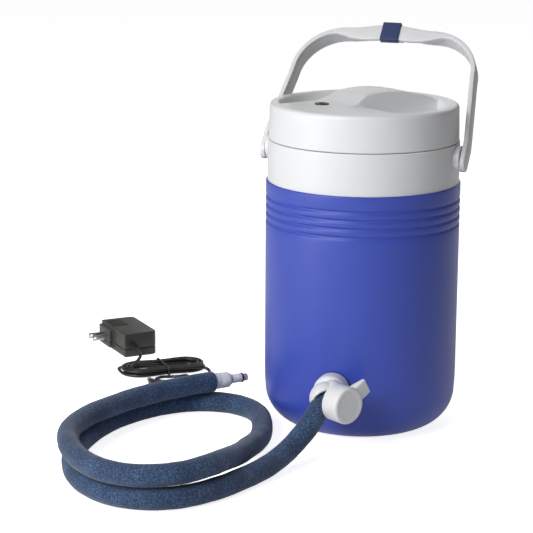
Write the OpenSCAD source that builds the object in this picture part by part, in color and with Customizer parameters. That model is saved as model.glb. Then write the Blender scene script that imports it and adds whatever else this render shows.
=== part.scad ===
// Hot and cold therapy machine: an insulated jug with an air pump in its lid, an insulated hose
// with a quick connector, and a mains adapter whose lead is tied in a hank.
// Millimetres, +Z up. The origin is the centre of the jug's base, and the spigot is on the -Y side.

/* [Jug] */
// Diameter of the outer shell
shell_d = 200; // [190:1:215]
// Height of the outer shell
shell_h = 256; // [240:1:275]
// Wall of the outer shell
shell_wall = 2.5; // [2:0.1:3]
// Radius of the shell's lower corner
base_round = 38; // [30:1:42]
// Step between the lower corner and the wall
base_step = 0.8; // [0.4:0.1:1.2]
// Grooves round the top of the shell
groove_count = 4; // [2:1:6]
// Distance from one groove to the next
groove_pitch = 8.6; // [7:0.1:10]
// Distance of the first groove below the collar
groove_drop = 15.6; // [14:0.1:20]
// Width of a groove's round section
groove_w = 4.4; // [3:0.1:5]
// Depth of a groove
groove_depth = 1.2; // [0.6:0.1:1.6]
// Thickness of the foam in the wall
foam_wall = 13; // [11:0.5:14]
// Thickness of the foam under the liner
foam_base = 18; // [14:0.5:20]
// Wall of the inner liner
liner_wall = 2.5; // [2:0.1:3]

/* [Collar] */
// How far the collar stands in from the shell
collar_inset = 1.6; // [1.5:0.1:3]
// Height of the collar above the shell
collar_h = 42.5; // [41:0.5:46]
// Wall of the collar
collar_wall = 3; // [2.4:0.1:3.4]
// Thickness of the collar's deck
deck_t = 3; // [2.5:0.1:4]
// Depth of the collar's skirt inside the shell
skirt_h = 8; // [6:0.5:9]
// Diameter of the bosses that carry the bail
boss_d = 26; // [24:0.5:28]

/* [Bail] */
// Room between the collar and the bail's arms
bail_room = 5.6; // [4.6:0.1:7.6]
// How far the arms lean in from the pivots to the shoulders
arm_lean = 9; // [7:0.5:10.5]
// Distance from the pivot up to the shoulders' top
bail_l = 148.5; // [140:0.5:156]
// Radius of the bail's shoulders
shoulder_r = 53; // [46:1:56]
// Rise of the grip above the shoulders
grip_crown = 5.7; // [2:0.1:8]
// Width of the bail's strap
strap_w = 20; // [17:0.5:22]
// Thickness of the bail's strap
strap_t = 5; // [4:0.1:5.4]
// Depth of the grip's front lip
lip_depth = 13; // [8:0.5:16]
// Thickness of the grip's front lip
lip_t = 3; // [2:0.1:4]
// Height of the pivots above the base
pivot_z = 284; // [280:0.5:286]
// Diameter of the pivot pins
pin_d = 10; // [8:0.1:11]
// Reach of the pivot pins into the collar
pin_reach = 6.4; // [3.4:0.1:7.4]
// Turn of the pivots about the jug
bail_yaw = 20; // [0:1:30]
// Lean of the bail away from the viewer
bail_lean = 42; // [0:1:60]
// Length of the blue clip on the grip
clip_l = 20; // [14:0.5:30]
// Wall of the clip
clip_wall = 1.6; // [1.2:0.1:2.2]

/* [Lid] */
// How far the lid stands in from the collar
lid_inset = 0.9; // [0.4:0.1:1.4]
// Height of the lid above the collar
lid_h = 36.9; // [34:0.1:40]
// Wall of the lid
lid_wall = 2.5; // [2:0.1:3]
// How much smaller the lid is at its top
lid_taper = 0.9; // [0:0.1:1.5]
// Radius of the lid's top edge
rim_round = 4; // [2.5:0.1:4.5]
// Width of the flat rim
rim_w = 9; // [8:0.5:11]
// Depth of the finger recesses
dish_depth = 11; // [8:0.5:12]
// Width of the grip bridge across the lid
bridge_w = 58; // [52:1:62]
// Distance of the bridge's middle from the lid's centre
bridge_off = 14.8; // [12:0.2:17]
// Turn of the bridge about the jug
bridge_yaw = 34; // [0:1:60]
// Height of the bridge's hump above the rim
hump_h = 11; // [8:0.5:13]
// Length of the bridge's hump
hump_l = 126; // [115:1:130]
// Thickness of the lid's gasket
gasket_t = 2; // [1.6:0.1:2.4]
// Depth of the lid's plug inside the jug
plug_depth = 31; // [27:0.5:33]
// Thickness of the foam disc in the lid
lid_foam_t = 8; // [6:0.5:9]

/* [Pump] */
// Diameter of the pump motor
motor_d = 24; // [20:0.5:26]
// Height of the pump motor
motor_h = 30; // [26:0.5:31]
// Diameter of the motor shaft
shaft_d = 2; // [1.5:0.1:2.5]
// Offset of the eccentric from the shaft
throw = 1.2; // [0.8:0.1:1.5]
// Diameter of the eccentric
eccentric_d = 10; // [8:0.5:11]
// Diameter of the diaphragm
diaphragm_d = 18; // [14:0.5:20]
// Diameter of the vent valve's plunger
plunger_d = 6; // [5:0.1:7]
// Travel of the vent valve's plunger
plunger_travel = 1.5; // [1:0.1:2]

/* [Spigot] */
// Height of the spigot above the base
spigot_z = 60.5; // [58:0.5:68]
// Turn of the spigot about the jug
spigot_yaw = 17.6; // [12:0.1:20]
// Diameter of the spigot's shank
shank_d = 18; // [16:0.5:20]
// Bore of the shank
shank_bore = 12; // [9:0.5:13]
// Diameter of the valve's round housing
housing_d = 34.6; // [33:0.2:38]
// Depth of the valve's round housing
housing_l = 17; // [15:0.5:20]
// Diameter of the valve knob
knob_d = 37; // [34:0.5:39]
// Depth of the valve knob
knob_l = 20; // [17:0.5:21]
// Reach of the knob's lever from its axis
lever_l = 31; // [27:0.5:36]
// Width of the lever
lever_w = 16.5; // [12:0.5:19]
// Tilt of the lever above the horizontal
lever_tilt = 30; // [15:1:50]
// Diameter of the valve's stem
stem_d = 13; // [11:0.5:14]

/* [Hose] */
// Diameter of the insulated hose
hose_d = 22; // [20:0.5:23]
// Diameter of the hood's ball
hood_d = 33.2; // [32:0.2:36]
// Depth of the hose behind the middle of its hood
hood_depth = 12; // [10:0.5:14]
// Wall of the hood at its rim
hood_wall = 2.4; // [2:0.1:2.8]
// Diameter of the connector's barrel
barrel_d = 17; // [16:0.2:19]
// Length of the connector's barrel
barrel_l = 21.5; // [16:0.5:24]
// Diameter of the connector's nipple
nipple_d = 9.6; // [9:0.2:11]
// Length of the connector's nipple
nipple_l = 12; // [10:0.5:15]
// Thickness of the connector's seal
seal_t = 2; // [1.6:0.1:2.4]
// Depth of the seal's groove in the nipple
seal_groove = 1; // [0.8:0.1:1.2]
// Length of the connector's clear tip
tip_l = 5.5; // [4:0.5:8]

/* [Adapter] */
// Length of the adapter
adapter_l = 75; // [70:1:80]
// Width of the adapter
adapter_w = 41; // [38:1:46]
// Height of the adapter as it lies
adapter_h = 28; // [26:0.5:32]
// Wall of the adapter's case
case_wall = 2; // [1.6:0.1:2.4]
// Radius of the adapter's corners
case_round = 7; // [4:0.5:9]
// Height of the seam round the case
seam_z = 9; // [7:0.5:12]
// Distance between the two blades
blade_pitch = 12.7; // [12:0.1:13]
// Length of a blade
blade_l = 17; // [15:0.5:19]
// Diameter of the adapter's cord
cord_d = 3.6; // [3.2:0.1:3.8]
// Length of the hank's straight runs
hank_run = 54; // [54:1:60]
// Radius of the hank's outer loop
hank_r = 22.5; // [22:0.5:25]
// Step from one loop of the hank to the next
hank_step = 4.4; // [4.3:0.1:4.5]
// How far the tie draws the hank in
hank_waist = 3; // [1:0.5:4]
// Diameter of the barrel plug's metal barrel
tip_d = 5.5; // [4:0.5:6]

/* [Hidden] */
$fn = 72;
eps = 0.01;
running = 0.05; // clearance round a turning or sliding pin
slip = 0.2;     // clearance between pieces that slide together

shell_r = shell_d / 2;
shell_in_r = shell_r - base_step - shell_wall;
liner_r = shell_in_r - foam_wall;
liner_in_r = liner_r - liner_wall;
liner_z = shell_wall + foam_base;
collar_r = shell_r - collar_inset;
collar_top = shell_h + collar_h;
skirt_r = shell_in_r - slip;
skirt_t = 2.4;
boss_r = boss_d / 2;
pin_r = pin_d / 2;
arm_in_r = collar_r + bail_room;
bail_r = arm_in_r + strap_t;
boss_face = arm_in_r - 0.6;
pin_l = bail_room + pin_reach;
boss_depth = pin_l + 2;
arm_straight = boss_r + 3; // the arm runs straight past its boss, then leans in
arm_tail = 4;              // from the pivot down to the centre of the arm's round end
grip_half = bail_r - arm_lean - shoulder_r;
lip_half = grip_half + 0.32 * shoulder_r; // the lip ends on the shoulders
grip_top = bail_l + grip_crown;

lid_r = collar_r - lid_inset;
lid_z = collar_top + 0.6;
lid_top = lid_z + lid_h;
dish_r = lid_r - lid_taper - rim_w;
dish_slope = 4;
bridge_slope = 8;
pad_drop = 1.5; // the flat part of the bridge lies this far below the rim
hump_x = 20;
hump_rise = hump_h + pad_drop;
hump_r = (pow(hump_l / 2, 2) + pow(hump_rise, 2)) / (2 * hump_rise);
pan_wall = 2.5;
pan_round = 5;
pan_r = liner_in_r - 0.8;
pan_z = collar_top - plug_depth;
pan_floor = pan_z + pan_wall;
gasket_r = liner_in_r + 10.5;
gasket_w = 8;
flange_z = collar_top + gasket_t;
flange_t = 2.4;
flange_r = lid_r - lid_wall - 0.5;
post_r = 4.5;
post_place = pan_r - 14.4;
post_angles = [10, 100, 190, 280];
screw_r = 1.5;
screw_l = plug_depth / 2 + 0.5;
jack_x = -40.5;
jack_y = 18;
jack_r = 6;
jack_flange_r = 7.6;
jack_l = 14;
jack_nut_h = 2.4;
jack_nut_edge = 2.2; // to the nut's corners, clear of the nearest post
pad_edge = jack_x + jack_flange_r + 1.9; // the hump starts in a step beside the jack
chassis_z = pan_floor + lid_foam_t;
chassis_t = 2;
works_z = chassis_z + chassis_t; // what stands on the chassis plate starts here
motor_x = 20;
motor_y = 15;
motor_r = motor_d / 2;
motor_top = works_z + motor_h;
shaft_r = shaft_d / 2;
eccentric_r = eccentric_d / 2;
eccentric_z = motor_top + 3;
eccentric_t = 5;
yoke_bore = eccentric_r + throw + 0.6;
yoke_r = yoke_bore + 2;
diaphragm_r = diaphragm_d / 2;
diaphragm_x = motor_x + yoke_r + 9;
diaphragm_t = 2.4;
head_l = 16;
head_w = diaphragm_d + 4;
head_z = eccentric_z + eccentric_t / 2;
tube_r = 3.2;
tube_bore = 2;
tube_bend = 7;
nozzle_h = 8; // above the chassis plate's underside
outlet_x = diaphragm_x + diaphragm_t + head_l / 2;
outlet_y = motor_y - head_w / 2 - tube_bend;
tube_foot = chassis_z + 0.4 - head_z + tube_bend;
vent_x = -8;
vent_y = -12;
coil_r = 8;
coil_h = 18;
plunger_r = plunger_d / 2;
board_x = -64;
board_y = -16;
board_l = 46;
board_w = 26;
board_t = 1.6;
standoff_h = 4;

shank_r = shank_d / 2;
pad_r = 17;
pad_face = shell_r - 1.5; // the wall is spot-faced flat for the washer
washer_t = 2;
shank_flange_t = 3;
housing_face = pad_face + washer_t + shank_flange_t;
housing_r = housing_d / 2;
inner_pad = liner_in_r - 2.7;
pad_sink = 0.6; // the liner's pad ends inside its wall
nut_t = 6;
knob_r = knob_d / 2;
knob_at = [-17, -154, 59.7]; // centre of the knob's front face
knob_yaw = 40;
knob_edge = 2.5;
stem_r = stem_d / 2;
lever_drop = 3; // the lever starts this far behind the knob's face
lever_tip = 3.5;
lever_root = 10;
stem_l = 5; // short, so that it stays clear of the hose in the hood
barrel_gap = 0.4;
housing_arm_r = stem_r + 7.5;
housing_arm_l = 18;
hose_r = hose_d / 2;
hood_at = [-38.9, -120, 57.3]; // centre of the hood's ball
hood_fall = 129;               // the hose's axis in the hood, measured from straight up
hood_turn = 231.8;
hood_axis = [sin(hood_fall) * cos(hood_turn), sin(hood_fall) * sin(hood_turn), cos(hood_fall)];
hood_r = hood_d / 2;
mouth_fall = 133.9; // the ball is cut off flat across this axis
mouth_turn = -77.1;
mouth_off = 3.5;
mouth_r = sqrt(pow(hood_r, 2) - pow(mouth_off, 2)) - hood_wall;
mouth_sink = 7;

// The hose: out of the hood, down to the floor, once round, then a second turn that rests on the first
hose_route = [
    hood_at - hood_depth * hood_axis, hood_at, hood_at + 12 * hood_axis, hood_at + 25 * hood_axis,
    [-57, -143, 34.5], [-64, -151, 28], [-72, -161, 22], [-81, -173, 17], [-92, -188, 13],
    [-105, -206, 11], [-120, -227, 11], [-139, -250, 11], [-162, -270, 11], [-188, -282, 11],
    [-216, -282, 11], [-241, -271, 11], [-261, -251, 11], [-275, -225, 11], [-283, -196, 11],
    [-286, -165, 11], [-284, -132, 11], [-276, -98, 11], [-263, -64, 11], [-245, -35, 11],
    [-222, -10, 11], [-195, 8, 11], [-165, 15, 11], [-137, 9, 11], [-116, -9, 11],
    [-105, -35, 11], [-102, -65, 11], [-103, -95, 11], [-108, -125, 13], [-115, -154, 17.5],
    [-121, -180, 21.5], [-128, -206, 26.2], [-137, -232, 31.6], [-151, -256, 34], [-172, -275, 34],
    [-197, -285, 34], [-224, -284, 34], [-249, -270, 34], [-268, -246, 34], [-281, -217, 34],
    [-288, -187, 34], [-290, -158, 34], [-284, -129, 34], [-272, -101, 34], [-256, -74, 33],
    [-234, -44, 32.5], [-209, -20, 32.5], [-189, -6, 33], [-172, 3, 34], [-155, 12, 34]
];
hose_sides = 12;
hose_end = len(hose_route) - 1;
hose_way = hose_route[hose_end] - hose_route[hose_end - 1];
hose_end_turn = atan2(hose_way[1], hose_way[0]);
connector_at = hose_route[hose_end];
neck_r = 4.2;
neck_l = 1.8;
tip_r = 4;
flow_r = 2.4;

adapter_at = [-262, 262, 0];
adapter_turn = -64;
boss_x = -16;
plug_boss = [34, 5, 3, 3]; // length, how far it stands out, and the steps below and above it
blade = [1.5, 6.3];
relief_y = -11.5;
relief_l = 14;
relief_z = adapter_h / 2;
rib_count = 9;
cord_r = cord_d / 2;
hank_at = [-216, 167, 0];
hank_turn = 21;
hank_sides = 6;
hank_turns = 5 + 1 / 3;
loop_rings = 24;
tie_t = 0.6;
hank_low = cord_r + tie_t + slip;
hank_climb = cord_d + 0.8;
lead_route = [
    [-246, 202, 13], [-244, 194, 10], [-247, 186, 6], [-254, 180, 3.4], [-262, 173, 2.6], [-267, 166, 2.6]
];
tail_route = [
    [-170, 161, 6], [-164, 158, 4], [-163, 151, 2], [-168, 143, 1.8], [-177, 135, 1.8],
    [-188, 127, 1.8], [-201, 121, 1.8], [-212, 119, 1.8], [-219, 121, 1.8], [-222, 127, 1.8],
    [-219, 133, 1.8], [-215, 136, 1.8], [-205, 137, 1.8], [-196, 135, 3], [-189, 130, 5.4],
    [-186, 123, 6.2], [-187, 115, 5], [-192, 109, 4.5], [-199, 106.5, 4.5]
];
plug_at = [-206, 104, 4.5];
plug_turn = 200;
plug_l = 22;
plug_r = 4.5;
barrel_tip_l = 10;
plug_root_r = tip_d / 2 - 0.4; // the barrel is thinner where it sits in the plug

white = "#e9ebee";
blue = "#3e52aa";
black = "#1b1b1d";

// ---- Outlines and small helpers ----

// Half section of a solid cup from z0 to z1, its lower corner rounded
module cup_outline(r, z0, z1, corner) {
    translate([0, z0]) square([r - corner, z1 - z0]);
    translate([0, z0 + corner]) square([r, z1 - z0 - corner]);
    intersection() {
        translate([r - corner, z0 + corner]) circle(r = corner);
        translate([0, z0]) square([r, corner]);
    }
}

// Half section of a disc from z = 0 to h, its top edge rounded
module puck_outline(r, h, edge) {
    square([r, h - edge]);
    square([r - edge, h]);
    translate([r - edge, h - edge]) circle(r = edge);
}

module puck(r, h, edge) {
    rotate_extrude() puck_outline(r, h, edge);
}

module ring(r, bore, h) {
    difference() {
        cylinder(r = r, h = h);
        translate([0, 0, -1]) cylinder(r = bore, h = h + 2);
    }
}

module box(size, centre) {
    translate(centre - size / 2) cube(size);
}

// ---- Swept tubes ----

function unit(v) = v / norm(v);
function tangent(p, i) = unit(p[min(i + 1, len(p) - 1)] - p[max(i - 1, 0)]);
// A tube's ring lies across the path, with its first corner to the side
function tube_ring(c, t, r, sides) = let (
    side = unit(cross(t, [0, 0, 1])),
    up = cross(side, t)
) [for (k = [0 : sides - 1]) c + r * (cos(360 * k / sides) * side + sin(360 * k / sides) * up)];

module tube(path, r, sides) {
    n = len(path);
    points = [for (i = [0 : n - 1]) each tube_ring(path[i], tangent(path, i), r, sides)];
    walls = [for (i = [0 : n - 2], k = [0 : sides - 1]) let (
        a = i * sides + k,
        b = i * sides + (k + 1) % sides
    ) each [[a, b, a + sides], [b, b + sides, a + sides]]];
    caps = [
        for (k = [1 : sides - 2]) [0, k + 1, k],
        for (k = [1 : sides - 2]) [for (v = [0, k, k + 1]) (n - 1) * sides + v]
    ];
    polyhedron(points, concat(walls, caps), convexity = 10);
}

function length(p) = len(p) < 2 ? 0 : lengths(p, 1);
function lengths(p, i) = i >= len(p) ? 0 : norm(p[i] - p[i - 1]) + lengths(p, i + 1);
// Least distance between points of a path that are more than skip steps apart
function least(p, skip) = min([
    for (i = [0 : len(p) - 1 - skip]) min([for (j = [i + skip : len(p) - 1]) norm(p[i] - p[j])])
]);

// ---- Jug ----

module outer_shell() color(blue) difference() {
    rotate_extrude() difference() {
        union() {
            cup_outline(shell_r - base_step, 0, shell_h, base_round);
            translate([0, base_round]) square([shell_r, shell_h - base_round]);
        }
        cup_outline(shell_in_r, shell_wall, shell_h + 1, base_round - shell_wall);
        for (i = [0 : groove_count - 1])
            translate([shell_r + groove_w / 2 - groove_depth, shell_h - groove_drop - i * groove_pitch])
                circle(d = groove_w);
    }
    on_spigot() {
        translate([0, 0, pad_face]) cylinder(r = pad_r, h = shell_r);
        cylinder(r = shank_r + running, h = shell_r + 1);
    }
}

module liner_form() {
    rotate_extrude()
        cup_outline(liner_r, liner_z, collar_top - deck_t, base_round - shell_wall - foam_wall);
}

module foam_insulation() color("#e8dfa8") difference() {
    rotate_extrude() {
        cup_outline(shell_in_r, shell_wall, shell_h - skirt_h, base_round - shell_wall);
        translate([0, shell_h / 2]) square([skirt_r - skirt_t, collar_top - deck_t - shell_h / 2]);
    }
    liner_form();
    pivots() cylinder(r = boss_r + slip, h = boss_depth + 30, center = true);
    on_spigot() cylinder(r = shank_r + running, h = shell_r);
}

module inner_liner() color("#f2f2f0") difference() {
    union() {
        difference() {
            liner_form();
            rotate_extrude() cup_outline(liner_in_r, liner_z + liner_wall, collar_top,
                base_round - shell_wall - foam_wall - liner_wall);
        }
        on_spigot() translate([0, 0, inner_pad]) cylinder(r = pad_r - 1, h = liner_in_r + pad_sink - inner_pad);
    }
    on_spigot() cylinder(r = shank_r + running, h = shell_r);
}

// Places children at both pivots, with +Z outwards from the boss's face
module pivots() {
    for (side = [0, 180])
        translate([0, 0, pivot_z]) rotate([0, 90, side - bail_yaw])
            translate([0, 0, boss_face]) children();
}

module collar_ring() color(white) difference() {
    union() {
        rotate_extrude() difference() {
            union() {
                translate([0, shell_h]) puck_outline(collar_r, collar_h, 1.2);
                translate([0, shell_h - skirt_h]) square([skirt_r, skirt_h + 2]);
            }
            translate([0, shell_h - skirt_h - 1]) square([skirt_r - skirt_t, skirt_h + 4]);
            translate([0, shell_h]) square([collar_r - collar_wall, collar_h - deck_t]);
            square([liner_in_r, collar_top + 1]);
        }
        pivots() translate([0, 0, -boss_depth]) cylinder(r = boss_r, h = boss_depth);
    }
    pivots() translate([0, 0, -pin_l - 1]) cylinder(r = pin_r + running, h = pin_l + 2);
}

// ---- Bail ----

// Turns from the bail's own frame, X across, Y its width and Z along the arms, to its place
module on_bail() {
    translate([0, 0, pivot_z]) rotate([-bail_lean, 0, -bail_yaw]) children();
}

function crown(x) = grip_crown * (1 + cos(180 * x / grip_half)) / 2;
// The bail's right half, from its pivot to the middle of the grip, moved in by inset
function half_bail(inset) = [
    [bail_r - inset, -arm_tail],
    [bail_r - inset, arm_straight],
    for (a = [0 : 9 : 90]) [
        grip_half + (shoulder_r - inset) * cos(a),
        bail_l - shoulder_r + (shoulder_r - inset) * sin(a)
    ],
    for (k = [5 : -1 : 0]) [grip_half * k / 6, bail_l - inset + crown(grip_half * k / 6)]
];
function mirrored(p) = [for (i = [len(p) - 2 : -1 : 0]) [-p[i][0], p[i][1]]];
function reversed(p) = [for (i = [len(p) - 1 : -1 : 0]) p[i]];
function whole_bail(inset) = concat(half_bail(inset), mirrored(half_bail(inset)));
function lip(x) = lip_depth * min(1, 2.2 * (1 - abs(x) / (grip_half + 0.4 * shoulder_r)));

// Lays an outline of the bail's front, X across and Y up, out along the bail's width
module across(from, to) {
    translate([0, to, 0]) rotate([90, 0, 0]) linear_extrude(to - from) children();
}

module bail_handle() color(white) on_bail() {
    across(-strap_w / 2, strap_w / 2)
        polygon(concat(whole_bail(0), reversed(whole_bail(strap_t))));
    across(-strap_w / 2, -strap_w / 2 + lip_t) polygon(concat(
        [for (i = [-8 : 8]) let (x = lip_half * i / 8) [x, under(x) + 1]],
        [for (i = [8 : -1 : -8]) let (x = lip_half * i / 8) [x, under(x) - lip(x)]]
    ));
    for (side = [0, 180]) rotate([0, 90, side]) {
        translate([arm_tail, 0, arm_in_r]) cylinder(r = strap_w / 2, h = strap_t);
        translate([0, 0, arm_in_r - pin_l]) cylinder(r = pin_r, h = pin_l + strap_t / 2);
    }
}

// Height of the strap's underside at x across the grip
function under(x) = abs(x) < grip_half
    ? bail_l - strap_t + crown(abs(x))
    : bail_l - shoulder_r + sqrt(pow(shoulder_r - strap_t, 2) - pow(abs(x) - grip_half, 2));

// Section of the clip across the grip, grown by grow
module clip_section(grow) {
    half = strap_w / 2 + slip + grow;
    top = grip_top + slip + grow;
    polygon([
        [-half, top], [half, top], [half, grip_top - strap_t - 1 - grow],
        [-strap_w / 2 + lip_t + slip + grow, grip_top - strap_t - lip_depth - 1 - grow],
        [-half, grip_top - strap_t - lip_depth - 1 - grow]
    ]);
}

module handle_clip() color("#33497f") on_bail()
    rotate([90, 0, 90]) translate([0, 0, -clip_l / 2]) linear_extrude(clip_l) difference() {
        clip_section(clip_wall);
        clip_section(0);
    }

// ---- Lid ----

module on_bridge() {
    rotate([0, 0, bridge_yaw]) children();
}

// The lid's outer form as a solid, moved in by inset
module lid_form(inset) {
    r = lid_r - inset;
    top = lid_top - inset;
    difference() {
        rotate_extrude() {
            polygon([
                [0, lid_z - 1], [r, lid_z - 1], [r, lid_z], [r - lid_taper, top - rim_round], [0, top - rim_round]
            ]);
            square_up_to(r - lid_taper - rim_round, top);
            translate([r - lid_taper - rim_round, top - rim_round]) circle(r = rim_round);
        }
        translate([0, 0, top - dish_depth])
            cylinder(r1 = dish_r - dish_slope + inset, r2 = dish_r + inset, h = dish_depth + eps);
    }
    on_bridge() intersection() {
        translate([0, 0, lid_z]) cylinder(r = dish_r + inset + 1, h = 2 * lid_h);
        bridge_band(inset);
        union() {
            translate([-lid_r, -lid_r, lid_z]) cube([2 * lid_r, 2 * lid_r, lid_h - pad_drop - inset]);
            intersection() {
                translate([hump_x, lid_r, lid_top + hump_h - hump_r])
                    rotate([90, 0, 0]) cylinder(r = hump_r - inset, h = 2 * lid_r);
                translate([pad_edge + inset, -lid_r, lid_z]) cube([2 * lid_r, 2 * lid_r, 2 * lid_h]);
            }
        }
    }
}

module square_up_to(r, z) {
    translate([0, lid_z]) square([r, z - lid_z]);
}

// The bridge runs right across the lid, with sloping sides
module bridge_band(inset) {
    half = bridge_w / 2 - inset;
    low = lid_top - dish_depth - 2 * lid_wall;
    translate([-lid_r, bridge_off, 0]) rotate([90, 0, 90]) linear_extrude(2 * lid_r) polygon([
        [-half - bridge_slope, low], [half + bridge_slope, low], [half, lid_top], [half, lid_top + 2 * hump_h],
        [-half, lid_top + 2 * hump_h], [-half, lid_top]
    ]);
}

module posts(r, z0, z1) {
    for (a = post_angles) rotate([0, 0, a]) translate([post_place, 0, z0]) cylinder(r = r, h = z1 - z0);
}

module lid_cover() color(white) difference() {
    union() {
        difference() {
            lid_form(0);
            lid_form(lid_wall);
            translate([0, 0, lid_z - 2]) cylinder(r = lid_r + 1, h = 2);
        }
        intersection() {
            posts(post_r, pan_floor, lid_top);
            union() {
                lid_form(lid_wall / 2);
                translate([0, 0, pan_z]) cylinder(r = pan_r, h = lid_z - pan_z);
            }
        }
    }
    posts(screw_r, pan_z, pan_z + screw_l + 0.5);
    on_bridge() translate([jack_x, jack_y, lid_z]) cylinder(r = jack_r + running, h = lid_h);
}

module lid_pan() color("#eceef0") difference() {
    union() {
        difference() {
            rotate_extrude() {
                cup_outline(pan_r, pan_z, flange_z + flange_t, pan_round);
                translate([0, flange_z]) square([flange_r, flange_t]);
            }
            rotate_extrude() cup_outline(pan_r - pan_wall, pan_floor, flange_z + flange_t + 1, pan_round - pan_wall);
        }
        on_bridge() translate([outlet_x, outlet_y, pan_z - 4])
            cylinder(r = tube_bore - running, h = chassis_z + nozzle_h + 4 - pan_z);
    }
    posts(screw_r + slip, pan_z - 1, pan_floor + 1);
    on_bridge() translate([outlet_x, outlet_y, pan_z - 5]) cylinder(r = 1.1, h = chassis_z + nozzle_h + 6 - pan_z);
}

module lid_insulation() color("#e8dfa8") difference() {
    translate([0, 0, pan_floor]) cylinder(r = pan_r - pan_round - 0.1, h = lid_foam_t);
    posts(post_r + slip, pan_floor - 1, chassis_z + 1);
    on_bridge() translate([outlet_x, outlet_y, pan_floor - 1]) cylinder(r = tube_bore + slip, h = lid_foam_t + 2);
}

module lid_gasket() color("#5b5e62") translate([0, 0, collar_top]) ring(gasket_r, gasket_r - gasket_w, gasket_t);

module lid_screws() color("#b9bcc0") for (a = post_angles) rotate([0, 0, a]) translate([post_place, 0, pan_z]) {
    cylinder(r = screw_r, h = screw_l);
    translate([0, 0, -2]) difference() {
        cylinder(r = 3, h = 2);
        translate([0, 0, -1]) cylinder(r = 1.5, h = 2, $fn = 6);
    }
}

// ---- Electrics in the lid ----

module power_jack() color(black) on_bridge() translate([jack_x, jack_y, lid_top - pad_drop]) {
    difference() {
        union() {
            cylinder(r1 = jack_flange_r, r2 = jack_flange_r - 0.6, h = 1.2);
            translate([0, 0, -jack_l]) cylinder(r = jack_r, h = jack_l);
        }
        translate([0, 0, -10]) cylinder(r = 3.2, h = 12);
    }
    translate([0, 0, -11]) cylinder(r = 1, h = 10);
}

module jack_nut() color("#a8acb0") on_bridge()
    translate([jack_x, jack_y, lid_top - pad_drop - lid_wall - jack_nut_h]) difference() {
        cylinder(r = jack_r + jack_nut_edge, h = jack_nut_h, $fn = 6);
        translate([0, 0, -1]) cylinder(r = jack_r + running, h = 5);
    }

// Two wires drop from the jack, turn and end on the board
module wiring() color("#a02020") on_bridge() {
    bend = 6;
    end_y = board_y + board_w;
    level = works_z + standoff_h + board_t + 3;
    foot = lid_top - pad_drop - jack_l;
    for (dx = [-2.5, 2.5]) translate([jack_x + dx, 0, 0]) {
        translate([0, jack_y, level + bend]) cylinder(r = 0.8, h = foot - level - bend);
        translate([0, jack_y - bend, level + bend]) rotate([90, 0, 90])
            rotate([0, 0, -90]) rotate_extrude(angle = 90) translate([bend, 0]) circle(r = 0.8);
        translate([0, end_y, level]) rotate([-90, 0, 0]) cylinder(r = 0.8, h = jack_y - bend - end_y);
    }
}

module control_board() color("#1f6b3a") on_bridge() {
    box([board_l, board_w, board_t], [board_x + board_l / 2, board_y + board_w / 2, works_z + standoff_h + board_t / 2]);
}

module board_parts() color("#2a2a2c") on_bridge() translate([board_x, board_y, works_z + standoff_h + board_t]) {
    translate([8, 7, 0]) cylinder(r = 4, h = 9);
    translate([18, 7, 0]) cylinder(r = 3, h = 7);
    box([9, 7, 1.6], [28, 8, 0.8]);
    box([7, 5, 1.4], [39, 8, 0.7]);
    box([12, 6, 6], [board_l / 2, board_w - 3, 3]);
}

module chassis_plate() color("#c9ccd0") difference() {
    on_bridge() {
        translate([board_x - 2, board_y - 4, chassis_z])
            cube([outlet_x + 6 - board_x, motor_y + motor_r + 8 - board_y, chassis_t]);
        for (x = [3, board_l - 3], y = [3, board_w - 3])
            translate([board_x + x, board_y + y, works_z - eps]) cylinder(r = 2, h = standoff_h + eps);
        box([head_l - 4, head_w - 6, head_z - head_w / 2 - works_z + eps],
            [outlet_x, motor_y, (head_z - head_w / 2 + works_z - eps) / 2]);
    }
    posts(post_r + slip, chassis_z - 1, works_z + 1);
    on_bridge() translate([outlet_x, outlet_y, chassis_z - 1]) cylinder(r = tube_r + slip, h = chassis_t + 2);
}

// ---- Pump ----

module pump_motor() color("#9a9da2") on_bridge() translate([motor_x, motor_y, works_z]) difference() {
    union() {
        puck(motor_r, motor_h - 1.5, 1.5);
        translate([0, 0, motor_h - 1.5 - eps]) cylinder(r = 4, h = 1.5 + eps);
    }
    translate([0, 0, 3]) cylinder(r = shaft_r + running, h = motor_h);
}

module pump_crank() color("#d9d2b8") on_bridge() translate([motor_x, motor_y, 0]) {
    translate([0, 0, works_z + 3.1]) cylinder(r = shaft_r, h = eccentric_z + eccentric_t + 1 - works_z - 3.1);
    translate([throw, 0, eccentric_z]) cylinder(r = eccentric_r, h = eccentric_t);
    translate([0, 0, eccentric_z - 1.5]) cylinder(r = shaft_r + 1.2, h = 1.5 + eps);
}

module pump_yoke() color("#dcdcdc") on_bridge() translate([motor_x, motor_y, head_z - 2]) difference() {
    union() {
        cylinder(r = yoke_r, h = 4);
        translate([0, -2, 0]) cube([diaphragm_x - motor_x, 4, 4]);
    }
    translate([0, 0, -1]) cylinder(r = yoke_bore, h = 6);
}

module diaphragm() color("#303234") on_bridge() translate([diaphragm_x, motor_y, head_z]) rotate([0, 90, 0])
    cylinder(r = diaphragm_r, h = diaphragm_t);

module pump_head() color("#55585c") on_bridge() difference() {
    box([head_l, head_w, head_w], [diaphragm_x + diaphragm_t + head_l / 2, motor_y, head_z]);
    translate([outlet_x, motor_y, head_z]) rotate([90, 0, 0]) cylinder(r = tube_bore - 0.8, h = head_w);
}

// Silicone tube: out of the pump head's side, a quarter turn, and down over the pan's nozzle
module air_tube() color("#cfd6d8") on_bridge() difference() {
    air_tube_form(tube_r, 0);
    air_tube_form(tube_bore, 1);
}

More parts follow.
